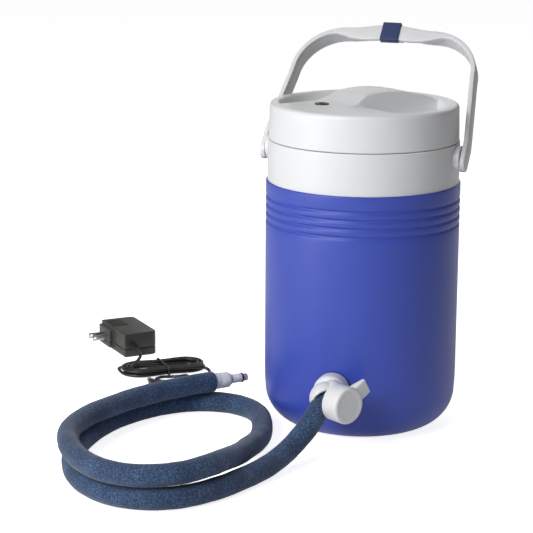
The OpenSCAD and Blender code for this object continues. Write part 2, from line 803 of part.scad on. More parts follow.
module air_tube_form(r, past) translate([outlet_x, motor_y - head_w / 2, head_z - tube_bend]) {
    rotate([90, 0, 90]) rotate([0, 0, 90]) rotate_extrude(angle = 90) translate([tube_bend, 0]) circle(r = r);
    translate([0, -tube_bend, tube_foot - past]) cylinder(r = r, h = -tube_foot + past);
    if (past > 0) translate([0, -eps, tube_bend]) rotate([-90, 0, 0]) cylinder(r = r, h = past);
}

module vent_coil() color("#b5743a") on_bridge() translate([vent_x, vent_y, works_z]) difference() {
    cylinder(r = coil_r, h = coil_h);
    translate([0, 0, 4]) cylinder(r = plunger_r + running, h = coil_h);
}

module vent_plunger() color("#8f9296") on_bridge() translate([vent_x, vent_y, works_z + 4 + plunger_travel + 0.5]) {
    cylinder(r = plunger_r, h = coil_h);
    translate([0, 0, coil_h]) cylinder(r = plunger_r + 1.5, h = 2);
}

// ---- Spigot and valve ----

// +Z runs outwards through the jug's wall from the jug's axis
module on_spigot() {
    translate([0, 0, spigot_z]) rotate([90, 0, -spigot_yaw]) children();
}

module spigot_shank() color(white) on_spigot() difference() {
    union() {
        translate([0, 0, inner_pad - nut_t - 4]) cylinder(r = shank_r, h = pad_face + washer_t + 1 - inner_pad + nut_t + 4);
        translate([0, 0, pad_face + washer_t]) cylinder(r = pad_r - 1, h = shank_flange_t);
    }
    translate([0, 0, inner_pad - nut_t - 5]) cylinder(d = shank_bore, h = shell_r);
}

module spigot_washer() color("#2c2d30") on_spigot() translate([0, 0, pad_face]) ring(pad_r - 1.5, shank_r + running, washer_t);

module spigot_nut() color("#f2f2f0") on_spigot() translate([0, 0, inner_pad - nut_t]) difference() {
    cylinder(r = shank_r + 6, h = nut_t, $fn = 6);
    translate([0, 0, -1]) cylinder(r = shank_r + running, h = nut_t + 2);
}

// +Z runs from the middle of the hood's ball along the hose
module on_hood() {
    translate(hood_at) rotate([0, hood_fall, hood_turn]) children();
}

// +Z runs from the middle of the hood's ball out through the middle of its mouth
module on_mouth() {
    translate(hood_at) rotate([0, mouth_fall, mouth_turn]) children();
}

// +Z runs out of the knob's front face, +Y is up
module on_knob() {
    translate(knob_at) rotate([90, 0, knob_yaw]) children();
}

module valve_housing() color(white) difference() {
    union() {
        difference() {
            union() {
                on_spigot() translate([0, 0, housing_face]) puck(housing_r, housing_l, 6);
                translate(hood_at) sphere(r = hood_r);
            }
            on_mouth() translate([0, 0, mouth_off]) cylinder(r = hood_r + 2, h = hood_r);
            on_mouth() translate([0, 0, mouth_off - mouth_sink]) cylinder(r = mouth_r, h = mouth_sink + 1);
        }
        on_knob() translate([0, 0, -knob_l - barrel_gap - housing_arm_l])
            cylinder(r = housing_arm_r, h = housing_arm_l);
    }
    on_hood() translate([0, 0, -hood_depth]) cylinder(r = hose_r + slip, h = hood_depth + 30);
    on_hood() translate([0, 0, -hood_depth - 6]) cylinder(r = 5, h = 8);
    on_knob() translate([0, 0, -knob_l - barrel_gap - stem_l - 0.5]) cylinder(r = stem_r + running, h = stem_l + 1.5);
    on_spigot() translate([0, 0, housing_face - 1]) cylinder(d = shank_bore, h = housing_l - 5);
}

module valve_handle() color(white) on_knob() difference() {
    union() {
        translate([0, 0, -knob_l]) puck(knob_r, knob_l, knob_edge);
        translate([0, 0, -knob_l - barrel_gap - stem_l]) cylinder(r = stem_r, h = stem_l + barrel_gap + 1);
        rotate([0, 0, lever_tilt]) translate([0, lever_w / 2, 0]) rotate([90, 0, 0])
            linear_extrude(lever_w) polygon([
                [knob_r / 2, -lever_drop], [lever_l, -lever_drop], [lever_l, -lever_drop - lever_tip],
                [knob_r - 2, -lever_drop - lever_root], [knob_r / 2, -lever_drop - lever_root]
            ]);
    }
    translate([0, 0, -knob_l - barrel_gap - 2.6]) ring(stem_r + 1, stem_r - 1.2, 1.6);
}

module stem_seal() color("#2c2d30") on_knob() translate([0, 0, -knob_l - barrel_gap - 1.8])
    rotate_extrude() translate([stem_r - 0.6, 0]) circle(r = 0.55);

// ---- Hose ----

module insulated_hose() color("#2d4b73") tube(hose_route, hose_r, hose_sides);

// +Z runs on from the hose's end, along the floor
module on_connector() {
    translate(connector_at) rotate([0, 90, hose_end_turn]) children();
}

module connector_barrel() color(white) on_connector() difference() {
    union() {
        cylinder(d1 = barrel_d, d2 = barrel_d - 1.6, h = barrel_l - 2);
        translate([0, 0, barrel_l - 2]) cylinder(d1 = barrel_d - 1.6, d2 = nipple_d + 1, h = 2);
    }
    translate([0, 0, -1]) cylinder(r = neck_r, h = barrel_l + 2);
}

module connector_nipple() color("#dfe2e6") on_connector() difference() {
    union() {
        cylinder(r = neck_r, h = barrel_l + neck_l + 1);
        translate([0, 0, barrel_l + neck_l]) cylinder(d = nipple_d, h = nipple_l);
    }
    translate([0, 0, -1]) cylinder(r = flow_r, h = barrel_l + neck_l + nipple_l + 2);
    translate([0, 0, barrel_l + neck_l + nipple_l - seal_t]) ring(nipple_d, nipple_d / 2 - seal_groove, seal_t + 1);
}

// The seal as a coupling squeezes it, level with the nipple
module connector_seal() color(black) on_connector() translate([0, 0, barrel_l + neck_l + nipple_l - seal_t / 2])
    rotate_extrude() translate([(nipple_d - seal_groove) / 2, 0])
        polygon([for (a = [0 : 15 : 345]) [seal_groove / 2 * cos(a), seal_t / 2 * sin(a)]]);

module connector_tip() color("#c9c4dc") on_connector() translate([0, 0, barrel_l + neck_l + nipple_l]) difference() {
    puck(tip_r, tip_l, 0.8);
    translate([0, 0, -1]) cylinder(r = flow_r, h = tip_l + 2);
}

// ---- Adapter ----

// X runs along the adapter towards its cord, and the blades point to -Y
module on_adapter() {
    translate(adapter_at) rotate([0, 0, adapter_turn]) children();
}

// The case between two heights, with its two far corners rounded, moved in by inset
module case_form(z0, z1, inset) {
    l = adapter_l / 2 - inset;
    w = adapter_w / 2 - inset;
    c = case_round - inset;
    translate([0, 0, z0]) linear_extrude(z1 - z0) union() {
        translate([-l, -w]) square([2 * l, 2 * w - c]);
        translate([-l + c, -w]) square([2 * (l - c), 2 * w]);
        for (x = [-l + c, l - c]) translate([x, w - c]) circle(r = c);
    }
}

module adapter_cover() color("#4a4a47") on_adapter() {
    difference() {
        union() {
            case_form(seam_z, adapter_h, 0);
            plug_block(seam_z, adapter_h - plug_boss[3]);
        }
        case_form(seam_z - 1, adapter_h - case_wall, case_wall);
        blade_slots(running);
        translate([adapter_l / 2, relief_y, relief_z]) rotate([0, 90, 0]) cylinder(r = 3, h = 9, center = true);
    }
    for (i = [0 : rib_count - 1]) translate([boss_x - 13 + 3.2 * i, -adapter_w / 2 + 2, adapter_h - eps])
        cube([1.3, 19, 0.5]);
}

// The raised block that carries the blades, between two heights
module plug_block(z0, z1) {
    translate([boss_x - plug_boss[0] / 2, -adapter_w / 2 - plug_boss[1], z0])
        cube([plug_boss[0], plug_boss[1] + 1, z1 - z0]);
}

module adapter_base() color("#3f3f3d") on_adapter() difference() {
    union() {
        case_form(0, seam_z, 0);
        plug_block(plug_boss[2], seam_z);
    }
    case_form(case_wall, seam_z + 1, case_wall);
}

module adapter_board() color("#1f6b3a") on_adapter() {
    deck = case_wall + board_t;
    coil = [0.32 * adapter_l, 0.54 * adapter_w, 0.57 * adapter_h];
    box([adapter_l - 12, adapter_w - 10, board_t], [0, 0, case_wall + board_t / 2]);
    box(coil, [4, 0, deck + coil[2] / 2 - eps]);
    translate([coil[0], 8, deck - eps]) cylinder(r = 5, h = adapter_h / 2);
}

module blade_slots(gap) {
    for (side = [-1, 1]) box([blade[0] + 2 * gap, blade_l + plug_boss[1] + 9, blade[1] + 2 * gap],
        [boss_x + side * blade_pitch / 2, -adapter_w / 2 - (blade_l + plug_boss[1] - 9) / 2, adapter_h / 2]);
}

module adapter_blades() color("#c2c4c6") on_adapter() difference() {
    blade_slots(0);
    for (side = [-1, 1]) translate([boss_x + side * blade_pitch / 2, -adapter_w / 2 - plug_boss[1] - blade_l + 3, adapter_h / 2])
        rotate([0, 90, 0]) cylinder(r = 1.6, h = 8, center = true);
}

module adapter_relief() color(black) on_adapter() translate([adapter_l / 2, relief_y, relief_z]) rotate([0, 90, 0]) {
    translate([0, 0, -case_wall]) cylinder(r = 3 - running, h = case_wall);
    cylinder(r1 = 4.4, r2 = cord_r + 0.6, h = relief_l);
    for (i = [0 : 3]) translate([0, 0, 1.5 + 3 * i]) cylinder(r = 4.6 - 0.35 * i, h = 1.4);
}

relief_end = adapter_at + turned([adapter_l / 2 + relief_l, relief_y, relief_z], adapter_turn);
relief_out = adapter_at + turned([adapter_l / 2 + relief_l + cord_d, relief_y, relief_z], adapter_turn);
function turned(v, a) = [v[0] * cos(a) - v[1] * sin(a), v[0] * sin(a) + v[1] * cos(a), v[2]];

// Where the hank's path is after q loops: it spirals in on the lower layer and out on the upper
function hank_loop_r(q) = hank_r - hank_step * (hank_turns / 2 - abs(q - hank_turns / 2));
function hank_z(q) = hank_low + hank_climb * max(0, min(1, 6 * (q - hank_turns / 2)));
function drawn_in(u) = hank_waist * (1 + cos(360 * u / hank_run)) / 2;
function hank_flat(f, r) =
    f < 1 / 6 ? arc_point(-1, r, 180 + 540 * f) :
    f < 1 / 3 ? run_point(-1, r, 6 * f - 1.5) :
    f < 2 / 3 ? arc_point(1, r, 540 * (f - 1 / 3) - 90) :
    f < 5 / 6 ? run_point(1, r, 4.5 - 6 * f) :
    arc_point(-1, r, 90 + 540 * (f - 5 / 6));
function arc_point(end, r, a) = [end * hank_run / 2 + r * cos(a), r * sin(a)];
function run_point(side, r, s) = [s * hank_run, side * (r - drawn_in(s * hank_run))];
function hank_point(q) = let (p = hank_flat(q - floor(q + 1e-6), hank_loop_r(q)))
    hank_at + turned([p[0], p[1], hank_z(q)], hank_turn);
// Its two ends run straight for one diameter
hank_start = hank_point(0) + turned([0, cord_d, 0], hank_turn);
hank_finish = hank_point(hank_turns) + turned([cord_d, 0, 0], hank_turn);
hank_path = [
    hank_start,
    for (i = [0 : round(hank_turns * loop_rings)]) hank_point(i / loop_rings),
    hank_finish
];

module adapter_hank() color(black) tube(hank_path, cord_r, hank_sides);

lead_path = concat(
    [relief_end, relief_out], lead_route, [hank_start + turned([0, cord_d, 0], hank_turn), hank_start]
);
tail_path = concat([hank_finish, hank_finish + turned([cord_d, 0, 0], hank_turn)], tail_route, [plug_at]);

module adapter_lead() color(black) tube(lead_path, cord_r, 8);
module adapter_tail() color(black) tube(tail_path, cord_r, 8);

module hank_tie() color("#3a3a3c") translate(hank_at) rotate([0, 0, hank_turn]) rotate([90, 0, 90]) {
    half = hank_r - hank_waist + cord_r + slip;
    top = hank_low + hank_climb + cord_r + slip;
    linear_extrude(4, center = true) difference() {
        translate([-half - tie_t, 0]) square([2 * (half + tie_t), top + tie_t]);
        translate([-half, tie_t]) square([2 * half, top - tie_t]);
    }
}

// +Z runs on from the end of the tail, and +Y is up
module on_plug() {
    translate(plug_at) rotate([90, 0, plug_turn + 90]) children();
}

module barrel_plug() color("#262628") on_plug() {
    cylinder(r1 = cord_r + 0.6, r2 = plug_r - 0.4, h = 12);
    for (i = [0 : 3]) translate([0, 0, 1 + 2.8 * i]) cylinder(r = cord_r + 1 + 0.45 * i, h = 1.5);
    translate([0, 0, 12 - eps]) cylinder(r = plug_r, h = plug_l - 12);
    translate([0, 0, plug_l - plug_r]) rotate([0, -90, 0]) difference() {
        cylinder(r = plug_r, h = plug_r + 5);
        translate([0, 0, plug_r]) cylinder(r = plug_root_r + running, h = 6);
    }
}

module plug_barrel() color("#c6c7c9") on_plug() translate([0, 0, plug_l - plug_r]) rotate([0, -90, 0])
    translate([0, 0, plug_r]) difference() {
        union() {
            cylinder(r = plug_root_r, h = 5 + eps);
            translate([0, 0, 5]) cylinder(d = tip_d, h = barrel_tip_l);
        }
        translate([0, 0, -1]) cylinder(r = 1.05, h = barrel_tip_l + 7);
    }

echo(hose_length = length(hose_route), hose_gap = least(hose_route, 3) - hose_d);
echo(hank_length = length(hank_path), hank_gap = least(hank_path, 6) - cord_d);
echo(lead_length = length(lead_path), tail_length = length(tail_path));

outer_shell();
foam_insulation();
inner_liner();
collar_ring();
bail_handle();
handle_clip();
lid_cover();
lid_pan();
lid_insulation();
lid_gasket();
lid_screws();
power_jack();
jack_nut();
wiring();
control_board();
board_parts();
chassis_plate();
pump_motor();
pump_crank();
pump_yoke();
diaphragm();
pump_head();
air_tube();
vent_coil();
vent_plunger();
spigot_shank();
spigot_washer();
spigot_nut();
valve_housing();
valve_handle();
stem_seal();
insulated_hose();
connector_barrel();
connector_nipple();
connector_seal();
connector_tip();
adapter_cover();
adapter_base();
adapter_board();
adapter_blades();
adapter_relief();
adapter_lead();
adapter_hank();
hank_tie();
adapter_tail();
barrel_plug();
plug_barrel();
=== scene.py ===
"""Hot and cold therapy machine: an insulated jug, its lid, bail, valve, hose and mains adapter.

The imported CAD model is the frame. Each operator below makes one piece, or one group of like pieces,
in the frame's own coordinates, and main() calls them in order.
"""

from math import cos, pi, radians, sin, sqrt, tau

import bpy
from mathutils import Matrix, Vector, noise


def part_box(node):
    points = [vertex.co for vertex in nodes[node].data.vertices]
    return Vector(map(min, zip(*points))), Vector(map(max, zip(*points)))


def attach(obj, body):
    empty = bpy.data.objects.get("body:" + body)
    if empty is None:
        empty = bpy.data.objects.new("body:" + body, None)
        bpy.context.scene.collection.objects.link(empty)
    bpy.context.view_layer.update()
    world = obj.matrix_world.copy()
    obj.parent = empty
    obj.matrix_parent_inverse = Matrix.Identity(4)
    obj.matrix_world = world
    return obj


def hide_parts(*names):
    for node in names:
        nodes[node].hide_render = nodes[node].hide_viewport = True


bl_info = {
    "name": "Therapy Machine Builder",
    "version": (1, 0, 0),
    "blender": (4, 5, 0),
    "location": "View3D > Sidebar > Therapy Machine",
    "description": "Builds the dressed model of a hot and cold therapy machine round its CAD frame",
    "category": "Object",
}

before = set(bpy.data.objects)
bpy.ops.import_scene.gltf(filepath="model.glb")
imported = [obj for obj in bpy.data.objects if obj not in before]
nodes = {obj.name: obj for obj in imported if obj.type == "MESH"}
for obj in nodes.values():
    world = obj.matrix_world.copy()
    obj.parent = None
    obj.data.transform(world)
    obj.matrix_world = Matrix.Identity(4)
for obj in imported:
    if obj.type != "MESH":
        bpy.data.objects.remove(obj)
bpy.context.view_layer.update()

MM = 0.001
UP = Vector((0, 0, 1))


def at(x, y, z):
    """A point given in millimetres."""
    return Vector((x, y, z)) * MM


def heading(angle):
    """The level direction at an angle from +X."""
    return Vector((cos(radians(angle)), sin(radians(angle)), 0))


def falling(fall, turn):
    """The direction at an angle from straight up, turned from +X."""
    return sin(radians(fall)) * heading(turn) + cos(radians(fall)) * UP


# ---- Places that the CAD model gives, repeated here in metres ----

SHELL_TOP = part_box("outer_shell")[1].z
COLLAR_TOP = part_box("collar_ring")[1].z
SHELL_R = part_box("outer_shell")[1].x
COLLAR_R = 98.4 * MM
LID_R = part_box("lid_cover")[1].x
LID_BASE = COLLAR_TOP + 0.6 * MM
LID_RIM = LID_BASE + 36.9 * MM

PIVOT = at(0, 0, 284)
BAIL_ACROSS = heading(-20)
BAIL_BACK = heading(70)
BAIL_LEAN = radians(42)
BAIL_UP = cos(BAIL_LEAN) * UP + sin(BAIL_LEAN) * BAIL_BACK
BAIL_FLAT = cos(BAIL_LEAN) * BAIL_BACK - sin(BAIL_LEAN) * UP

BRIDGE_TURN = 34
SPIGOT = at(0, 0, 60.5)
SPIGOT_OUT = heading(-90 - 17.6)
KNOB = at(-17, -154, 59.7)
KNOB_OUT = heading(-50)
HOOD = at(-38.9, -120, 57.3)
HOSE_IN_HOOD = falling(129, 231.8)
MOUTH_OUT = falling(117.8, -71.4)

HOSE_ROUTE = [HOOD + d * MM * HOSE_IN_HOOD for d in (-12, 0, 12, 25)] + [
    at(*p)
    for p in (
        (-57, -143, 34.5), (-64, -151, 28), (-72, -161, 22), (-81, -173, 17), (-92, -188, 13),
        (-105, -206, 11), (-120, -227, 11), (-139, -250, 11), (-162, -270, 11), (-188, -282, 11),
        (-216, -282, 11), (-241, -271, 11), (-261, -251, 11), (-275, -225, 11), (-283, -196, 11),
        (-286, -165, 11), (-284, -132, 11), (-276, -98, 11), (-263, -64, 11), (-245, -35, 11),
        (-222, -10, 11), (-195, 8, 11), (-165, 15, 11), (-137, 9, 11), (-116, -9, 11),
        (-105, -35, 11), (-102, -65, 11), (-103, -95, 11), (-108, -125, 13), (-115, -154, 17.5),
        (-121, -180, 21.5), (-128, -206, 26.2), (-137, -232, 31.6), (-151, -256, 34), (-172, -275, 34),
        (-197, -285, 34), (-224, -284, 34), (-249, -270, 34), (-268, -246, 34), (-281, -217, 34),
        (-288, -187, 34), (-290, -158, 34), (-284, -129, 34), (-272, -101, 34), (-256, -74, 33),
        (-234, -44, 32.5), (-209, -20, 32.5), (-189, -6, 33), (-172, 3, 34), (-155, 12, 34),
    )
]
HOSE_END = HOSE_ROUTE[-1]
HOSE_OUT = (HOSE_ROUTE[-1] - HOSE_ROUTE[-2]).normalized()

ADAPTER = at(-262, 262, 0)
ADAPTER_LONG = heading(-64)
ADAPTER_WIDE = heading(26)
HANK = at(-216, 167, 0)
HANK_TURN = 21
HANK_LOOPS = 5 + 1 / 3
CORD_R = 1.8 * MM
PLUG = at(-206, 104, 4.5)
PLUG_OUT = heading(200)
PLUG_SIDE = -heading(290)

LEAD_ROUTE = [
    (-246, 202, 13), (-244, 194, 10), (-247, 186, 6), (-254, 180, 3.4), (-262, 173, 2.6), (-267, 166, 2.6),
]
TAIL_ROUTE = [
    (-170, 161, 6), (-164, 158, 4), (-163, 151, 2), (-168, 143, 1.8), (-177, 135, 1.8),
    (-188, 127, 1.8), (-201, 121, 1.8), (-212, 119, 1.8), (-219, 121, 1.8), (-222, 127, 1.8),
    (-219, 133, 1.8), (-215, 136, 1.8), (-205, 137, 1.8), (-196, 135, 3), (-189, 130, 5.4),
    (-186, 123, 6.2), (-187, 115, 5), (-192, 109, 4.5), (-199, 106.5, 4.5),
]


# ---- Working with bpy.ops ----


def deselect():
    """Leave edit mode with nothing selected."""
    if bpy.context.object and bpy.context.object.mode != "OBJECT":
        bpy.ops.object.mode_set(mode="OBJECT")
    bpy.ops.object.select_all(action="DESELECT")


def named(name):
    """Name the object that was just added."""
    piece = bpy.context.object
    piece.name = piece.data.name = name
    return piece


def edit(piece, mode="VERT"):
    """Enter edit mode on one piece alone."""
    deselect()
    piece.select_set(True)
    bpy.context.view_layer.objects.active = piece
    bpy.ops.object.mode_set(mode="EDIT")
    bpy.ops.mesh.select_mode(type=mode)
    bpy.ops.mesh.select_all(action="SELECT")


def settle(piece):
    """Put the piece's place into its mesh, with its object at the origin."""
    deselect()
    piece.select_set(True)
    bpy.context.view_layer.objects.active = piece
    bpy.ops.object.transform_apply(location=True, rotation=True, scale=True)


def stand(piece, place, out, over=UP):
    """Turn a piece made along +Z so that it runs along out from place, with its +Y towards over."""
    out = out.normalized()
    side = over.cross(out).normalized()
    turn = Matrix((side, out.cross(side), out)).transposed()
    piece.matrix_world = Matrix.Translation(place) @ turn.to_4x4()
    settle(piece)
    return piece


def apply_modifiers(piece):
    """Apply every modifier in order."""
    deselect()
    piece.select_set(True)
    bpy.context.view_layer.objects.active = piece
    for modifier in list(piece.modifiers):
        bpy.ops.object.modifier_apply(modifier=modifier.name)


def soften(piece, width, segments=3, angle=35):
    """Round the piece's sharp edges."""
    bevel = piece.modifiers.new("Rounded edges", "BEVEL")
    bevel.width = width
    bevel.segments = segments
    bevel.limit_method = "ANGLE"
    bevel.angle_limit = radians(angle)
    bevel.harden_normals = False
    apply_modifiers(piece)


def cut(piece, tool, how="DIFFERENCE"):
    """Cut, add or keep with another piece, which is used up."""
    boolean = piece.modifiers.new("Cut", "BOOLEAN")
    boolean.operation = how
    boolean.object = tool
    boolean.solver = "EXACT"
    apply_modifiers(piece)
    bpy.data.objects.remove(tool)


def outwards(piece):
    """Merge doubles and turn all faces outwards."""
    edit(piece)
    bpy.ops.mesh.remove_doubles(threshold=2e-6)
    bpy.ops.mesh.normals_make_consistent(inside=False)
    deselect()


def smooth(piece, angle=35):
    """Shade smooth, with edges sharper than angle kept crisp."""
    deselect()
    piece.select_set(True)
    bpy.context.view_layer.objects.active = piece
    bpy.ops.object.shade_smooth_by_angle(angle=radians(angle))


def rod(name, radius, start, end, sides=64, tip=None):
    """A straight round rod along Z from start to end, in metres, its tip with a radius of its own."""
    deselect()
    bpy.ops.mesh.primitive_cone_add(
        vertices=sides,
        radius1=radius,
        radius2=radius if tip is None else tip,
        depth=end - start,
        location=(0, 0, (start + end) / 2),
    )
    piece = named(name)
    settle(piece)
    return piece


def block(name, size, centre):
    """A box of a size round a centre."""
    deselect()
    bpy.ops.mesh.primitive_cube_add(size=1, location=centre)
    piece = named(name)
    piece.scale = size
    settle(piece)
    return piece


def spun(name, outline, steps=144):
    """Draw an outline of (radius, height) corner by corner and spin it once round Z."""
    deselect()
    bpy.ops.mesh.primitive_plane_add(size=0.001)
    piece = named(name)
    edit(piece)
    bpy.ops.mesh.merge(type="CENTER")
    bpy.ops.transform.translate(value=(outline[0][0], 0, outline[0][1]))
    for (r0, z0), (r1, z1) in zip(outline, outline[1:]):
        bpy.ops.mesh.extrude_region_move(TRANSFORM_OT_translate={"value": (r1 - r0, 0, z1 - z0)})
    bpy.ops.mesh.select_all(action="SELECT")
    bpy.ops.mesh.spin(steps=steps, angle=tau, center=(0, 0, 0), axis=(0, 0, 1))
    bpy.ops.mesh.select_all(action="SELECT")
    bpy.ops.mesh.remove_doubles(threshold=2e-6)
    bpy.ops.mesh.normals_make_consistent(inside=False)
    deselect()
    return piece


def arc(r, z, radius, start, end, count=8):
    """Points of a round corner in an outline."""
    return [
        (
            r + radius * cos(radians(start + (end - start) * k / count)),
            z + radius * sin(radians(start + (end - start) * k / count)),
        )
        for k in range(count + 1)
    ]


def wrapped(name, rings, closed=True, capped=True):
    """Lay a grid over rings of points, joined round and closed at both ends."""
    deselect()
    rows, columns = len(rings), len(rings[0]) + (1 if closed else 0)
    bpy.ops.mesh.primitive_grid_add(x_subdivisions=columns - 1, y_subdivisions=rows - 1, size=1)
    piece = named(name)
    points = piece.data.vertices
    for i, ring in enumerate(rings):
        for k in range(columns):
            points[i * columns + k].co = ring[k % len(ring)]
    edit(piece)
    if closed:
        bpy.ops.mesh.remove_doubles(threshold=1e-7)
    if capped:
        bpy.ops.mesh.select_all(action="DESELECT")
        bpy.ops.mesh.select_mode(type="EDGE")
        bpy.ops.mesh.select_non_manifold(
            extend=False, use_wire=False, use_boundary=True, use_multi_face=False,
            use_non_contiguous=False, use_verts=False,
        )
        bpy.ops.mesh.edge_face_add()
        bpy.ops.mesh.select_mode(type="VERT")
    bpy.ops.mesh.select_all(action="SELECT")
    bpy.ops.mesh.normals_make_consistent(inside=False)
    deselect()
    return piece


def through(points, steps):
    """A smooth line through a route's points."""
    line = []
    last = len(points) - 1
    for i in range(last):
        a, b = points[max(i - 1, 0)], points[i]
        c, d = points[i + 1], points[min(i + 2, last)]
        for k in range(steps):
            t = k / steps
            line.append(
                0.5 * (
                    2 * b + (c - a) * t + (2 * a - 5 * b + 4 * c - d) * t * t
                    + (3 * b - a - 3 * c + d) * t ** 3
                )
            )
    line.append(points[-1].copy())
    return line


def along(line):
    """The direction, side and top of a line at each of its points."""
    for i, here in enumerate(line):
        way = (line[min(i + 1, len(line) - 1)] - line[max(i - 1, 0)]).normalized()
        side = way.cross(UP).normalized()
        yield here, way, side, side.cross(way)


def ride(piece, body, slot, *replaced):
    """Fix a piece to its body, in place of the CAD nodes that it stands for. The slot is not used."""
    if replaced:
        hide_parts(*replaced)
    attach(piece, body)
    return piece


def paint(piece, material):
    """Give a piece or a CAD node one material."""
    piece.data.materials.clear()
    piece.data.materials.append(material)
    return piece


# ---- Shader groups and materials ----


def node(tree, kind, place, **settings):
    made = tree.nodes.new(kind)
    made.location = place
    for key, value in settings.items():
        setattr(made, key, value)
    return made


def group_with(name, inputs, outputs):
    """A node group with named sockets, each given as (name, type, default)."""
    group = bpy.data.node_groups.new(name, "ShaderNodeTree")
    for label, kind, value in inputs:
        socket = group.interface.new_socket(label, in_out="INPUT", socket_type=kind)
        socket.default_value = value
    for label, kind in outputs:
        group.interface.new_socket(label, in_out="OUTPUT", socket_type=kind)
    return (
        group,
        node(group, "NodeGroupInput", (-900, 0)),
        node(group, "NodeGroupOutput", (700, 0)),
    )


def moulded_group():
    """Moulded plastic: slow changes of tone and gloss, and a fine grain for the bump."""
    group, given, result = group_with(
        "Moulded Finish",
        [
            ("Color", "NodeSocketColor", (0.8, 0.8, 0.8, 1)),
            ("Tone", "NodeSocketFloat", 0.05),
            ("Tone Scale", "NodeSocketFloat", 14.0),
            ("Roughness", "NodeSocketFloat", 0.4),
            ("Roughness Change", "NodeSocketFloat", 0.08),
            ("Grain Scale", "NodeSocketFloat", 900.0),
        ],
        [("Color", "NodeSocketColor"), ("Roughness", "NodeSocketFloat"), ("Grain", "NodeSocketFloat")],
    )
    link = group.links.new
    place = node(group, "ShaderNodeTexCoord", (-900, -300))
    slow = node(group, "ShaderNodeTexNoise", (-650, 150))
    slow.inputs["Detail"].default_value = 3
    link(place.outputs["Object"], slow.inputs["Vector"])
    link(given.outputs["Tone Scale"], slow.inputs["Scale"])
    shift = node(group, "ShaderNodeMath", (-400, 150), operation="SUBTRACT")
    shift.inputs[1].default_value = 0.5
    link(slow.outputs["Fac"], shift.inputs[0])
    tone = node(group, "ShaderNodeMath", (-200, 150), operation="MULTIPLY_ADD")
    tone.inputs[2].default_value = 1.0
    link(shift.outputs[0], tone.inputs[0])
    link(given.outputs["Tone"], tone.inputs[1])
    colour = node(group, "ShaderNodeHueSaturation", (100, 200))
    link(given.outputs["Color"], colour.inputs["Color"])
    link(tone.outputs[0], colour.inputs["Value"])
    link(colour.outputs["Color"], result.inputs["Color"])
    rough = node(group, "ShaderNodeMath", (100, 0), operation="MULTIPLY_ADD")
    link(shift.outputs[0], rough.inputs[0])
    link(given.outputs["Roughness Change"], rough.inputs[1])
    link(given.outputs["Roughness"], rough.inputs[2])
    link(rough.outputs[0], result.inputs["Roughness"])
    grain = node(group, "ShaderNodeTexNoise", (-400, -250))
    grain.inputs["Detail"].default_value = 2
    link(place.outputs["Object"], grain.inputs["Vector"])
    link(given.outputs["Grain Scale"], grain.inputs["Scale"])
    link(grain.outputs["Fac"], result.inputs["Grain"])
    return group


def mottled_group():
    """Closed foam skin: pale flecks on a dark ground, with pits between them."""
    group, given, result = group_with(
        "Mottled Foam",
        [
            ("Ground", "NodeSocketColor", (0.03, 0.08, 0.2, 1)),
            ("Fleck", "NodeSocketColor", (0.12, 0.25, 0.4, 1)),
            ("Fleck Scale", "NodeSocketFloat", 620.0),
            ("Cloud Scale", "NodeSocketFloat", 45.0),
        ],
        [("Color", "NodeSocketColor"), ("Roughness", "NodeSocketFloat"), ("Height", "NodeSocketFloat")],
    )
    link = group.links.new
    place = node(group, "ShaderNodeTexCoord", (-900, -300))
    fine = node(group, "ShaderNodeTexNoise", (-650, 200))
    fine.inputs["Detail"].default_value = 5
    fine.inputs["Roughness"].default_value = 0.65
    link(place.outputs["Object"], fine.inputs["Vector"])
    link(given.outputs["Fleck Scale"], fine.inputs["Scale"])
    cloud = node(group, "ShaderNodeTexNoise", (-650, -50))
    cloud.inputs["Detail"].default_value = 4
    link(place.outputs["Object"], cloud.inputs["Vector"])
    link(given.outputs["Cloud Scale"], cloud.inputs["Scale"])
    both = node(group, "ShaderNodeMath", (-420, 100), operation="MULTIPLY_ADD")
    both.inputs[1].default_value = 0.3
    link(cloud.outputs["Fac"], both.inputs[0])
    link(fine.outputs["Fac"], both.inputs[2])
    spread = node(group, "ShaderNodeMapRange", (-220, 100))
    spread.inputs["From Min"].default_value = 0.6
    spread.inputs["From Max"].default_value = 0.86
    link(both.outputs[0], spread.inputs["Value"])
    colour = node(group, "ShaderNodeMix", (50, 200), data_type="RGBA")
    link(spread.outputs["Result"], colour.inputs["Factor"])
    link(given.outputs["Ground"], colour.inputs["A"])
    link(given.outputs["Fleck"], colour.inputs["B"])
    link(colour.outputs["Result"], result.inputs["Color"])
    rough = node(group, "ShaderNodeMath", (50, -50), operation="MULTIPLY_ADD")
    rough.inputs[1].default_value = -0.15
    rough.inputs[2].default_value = 0.85
    link(spread.outputs["Result"], rough.inputs[0])
    link(rough.outputs[0], result.inputs["Roughness"])
    link(fine.outputs["Fac"], result.inputs["Height"])
    return group


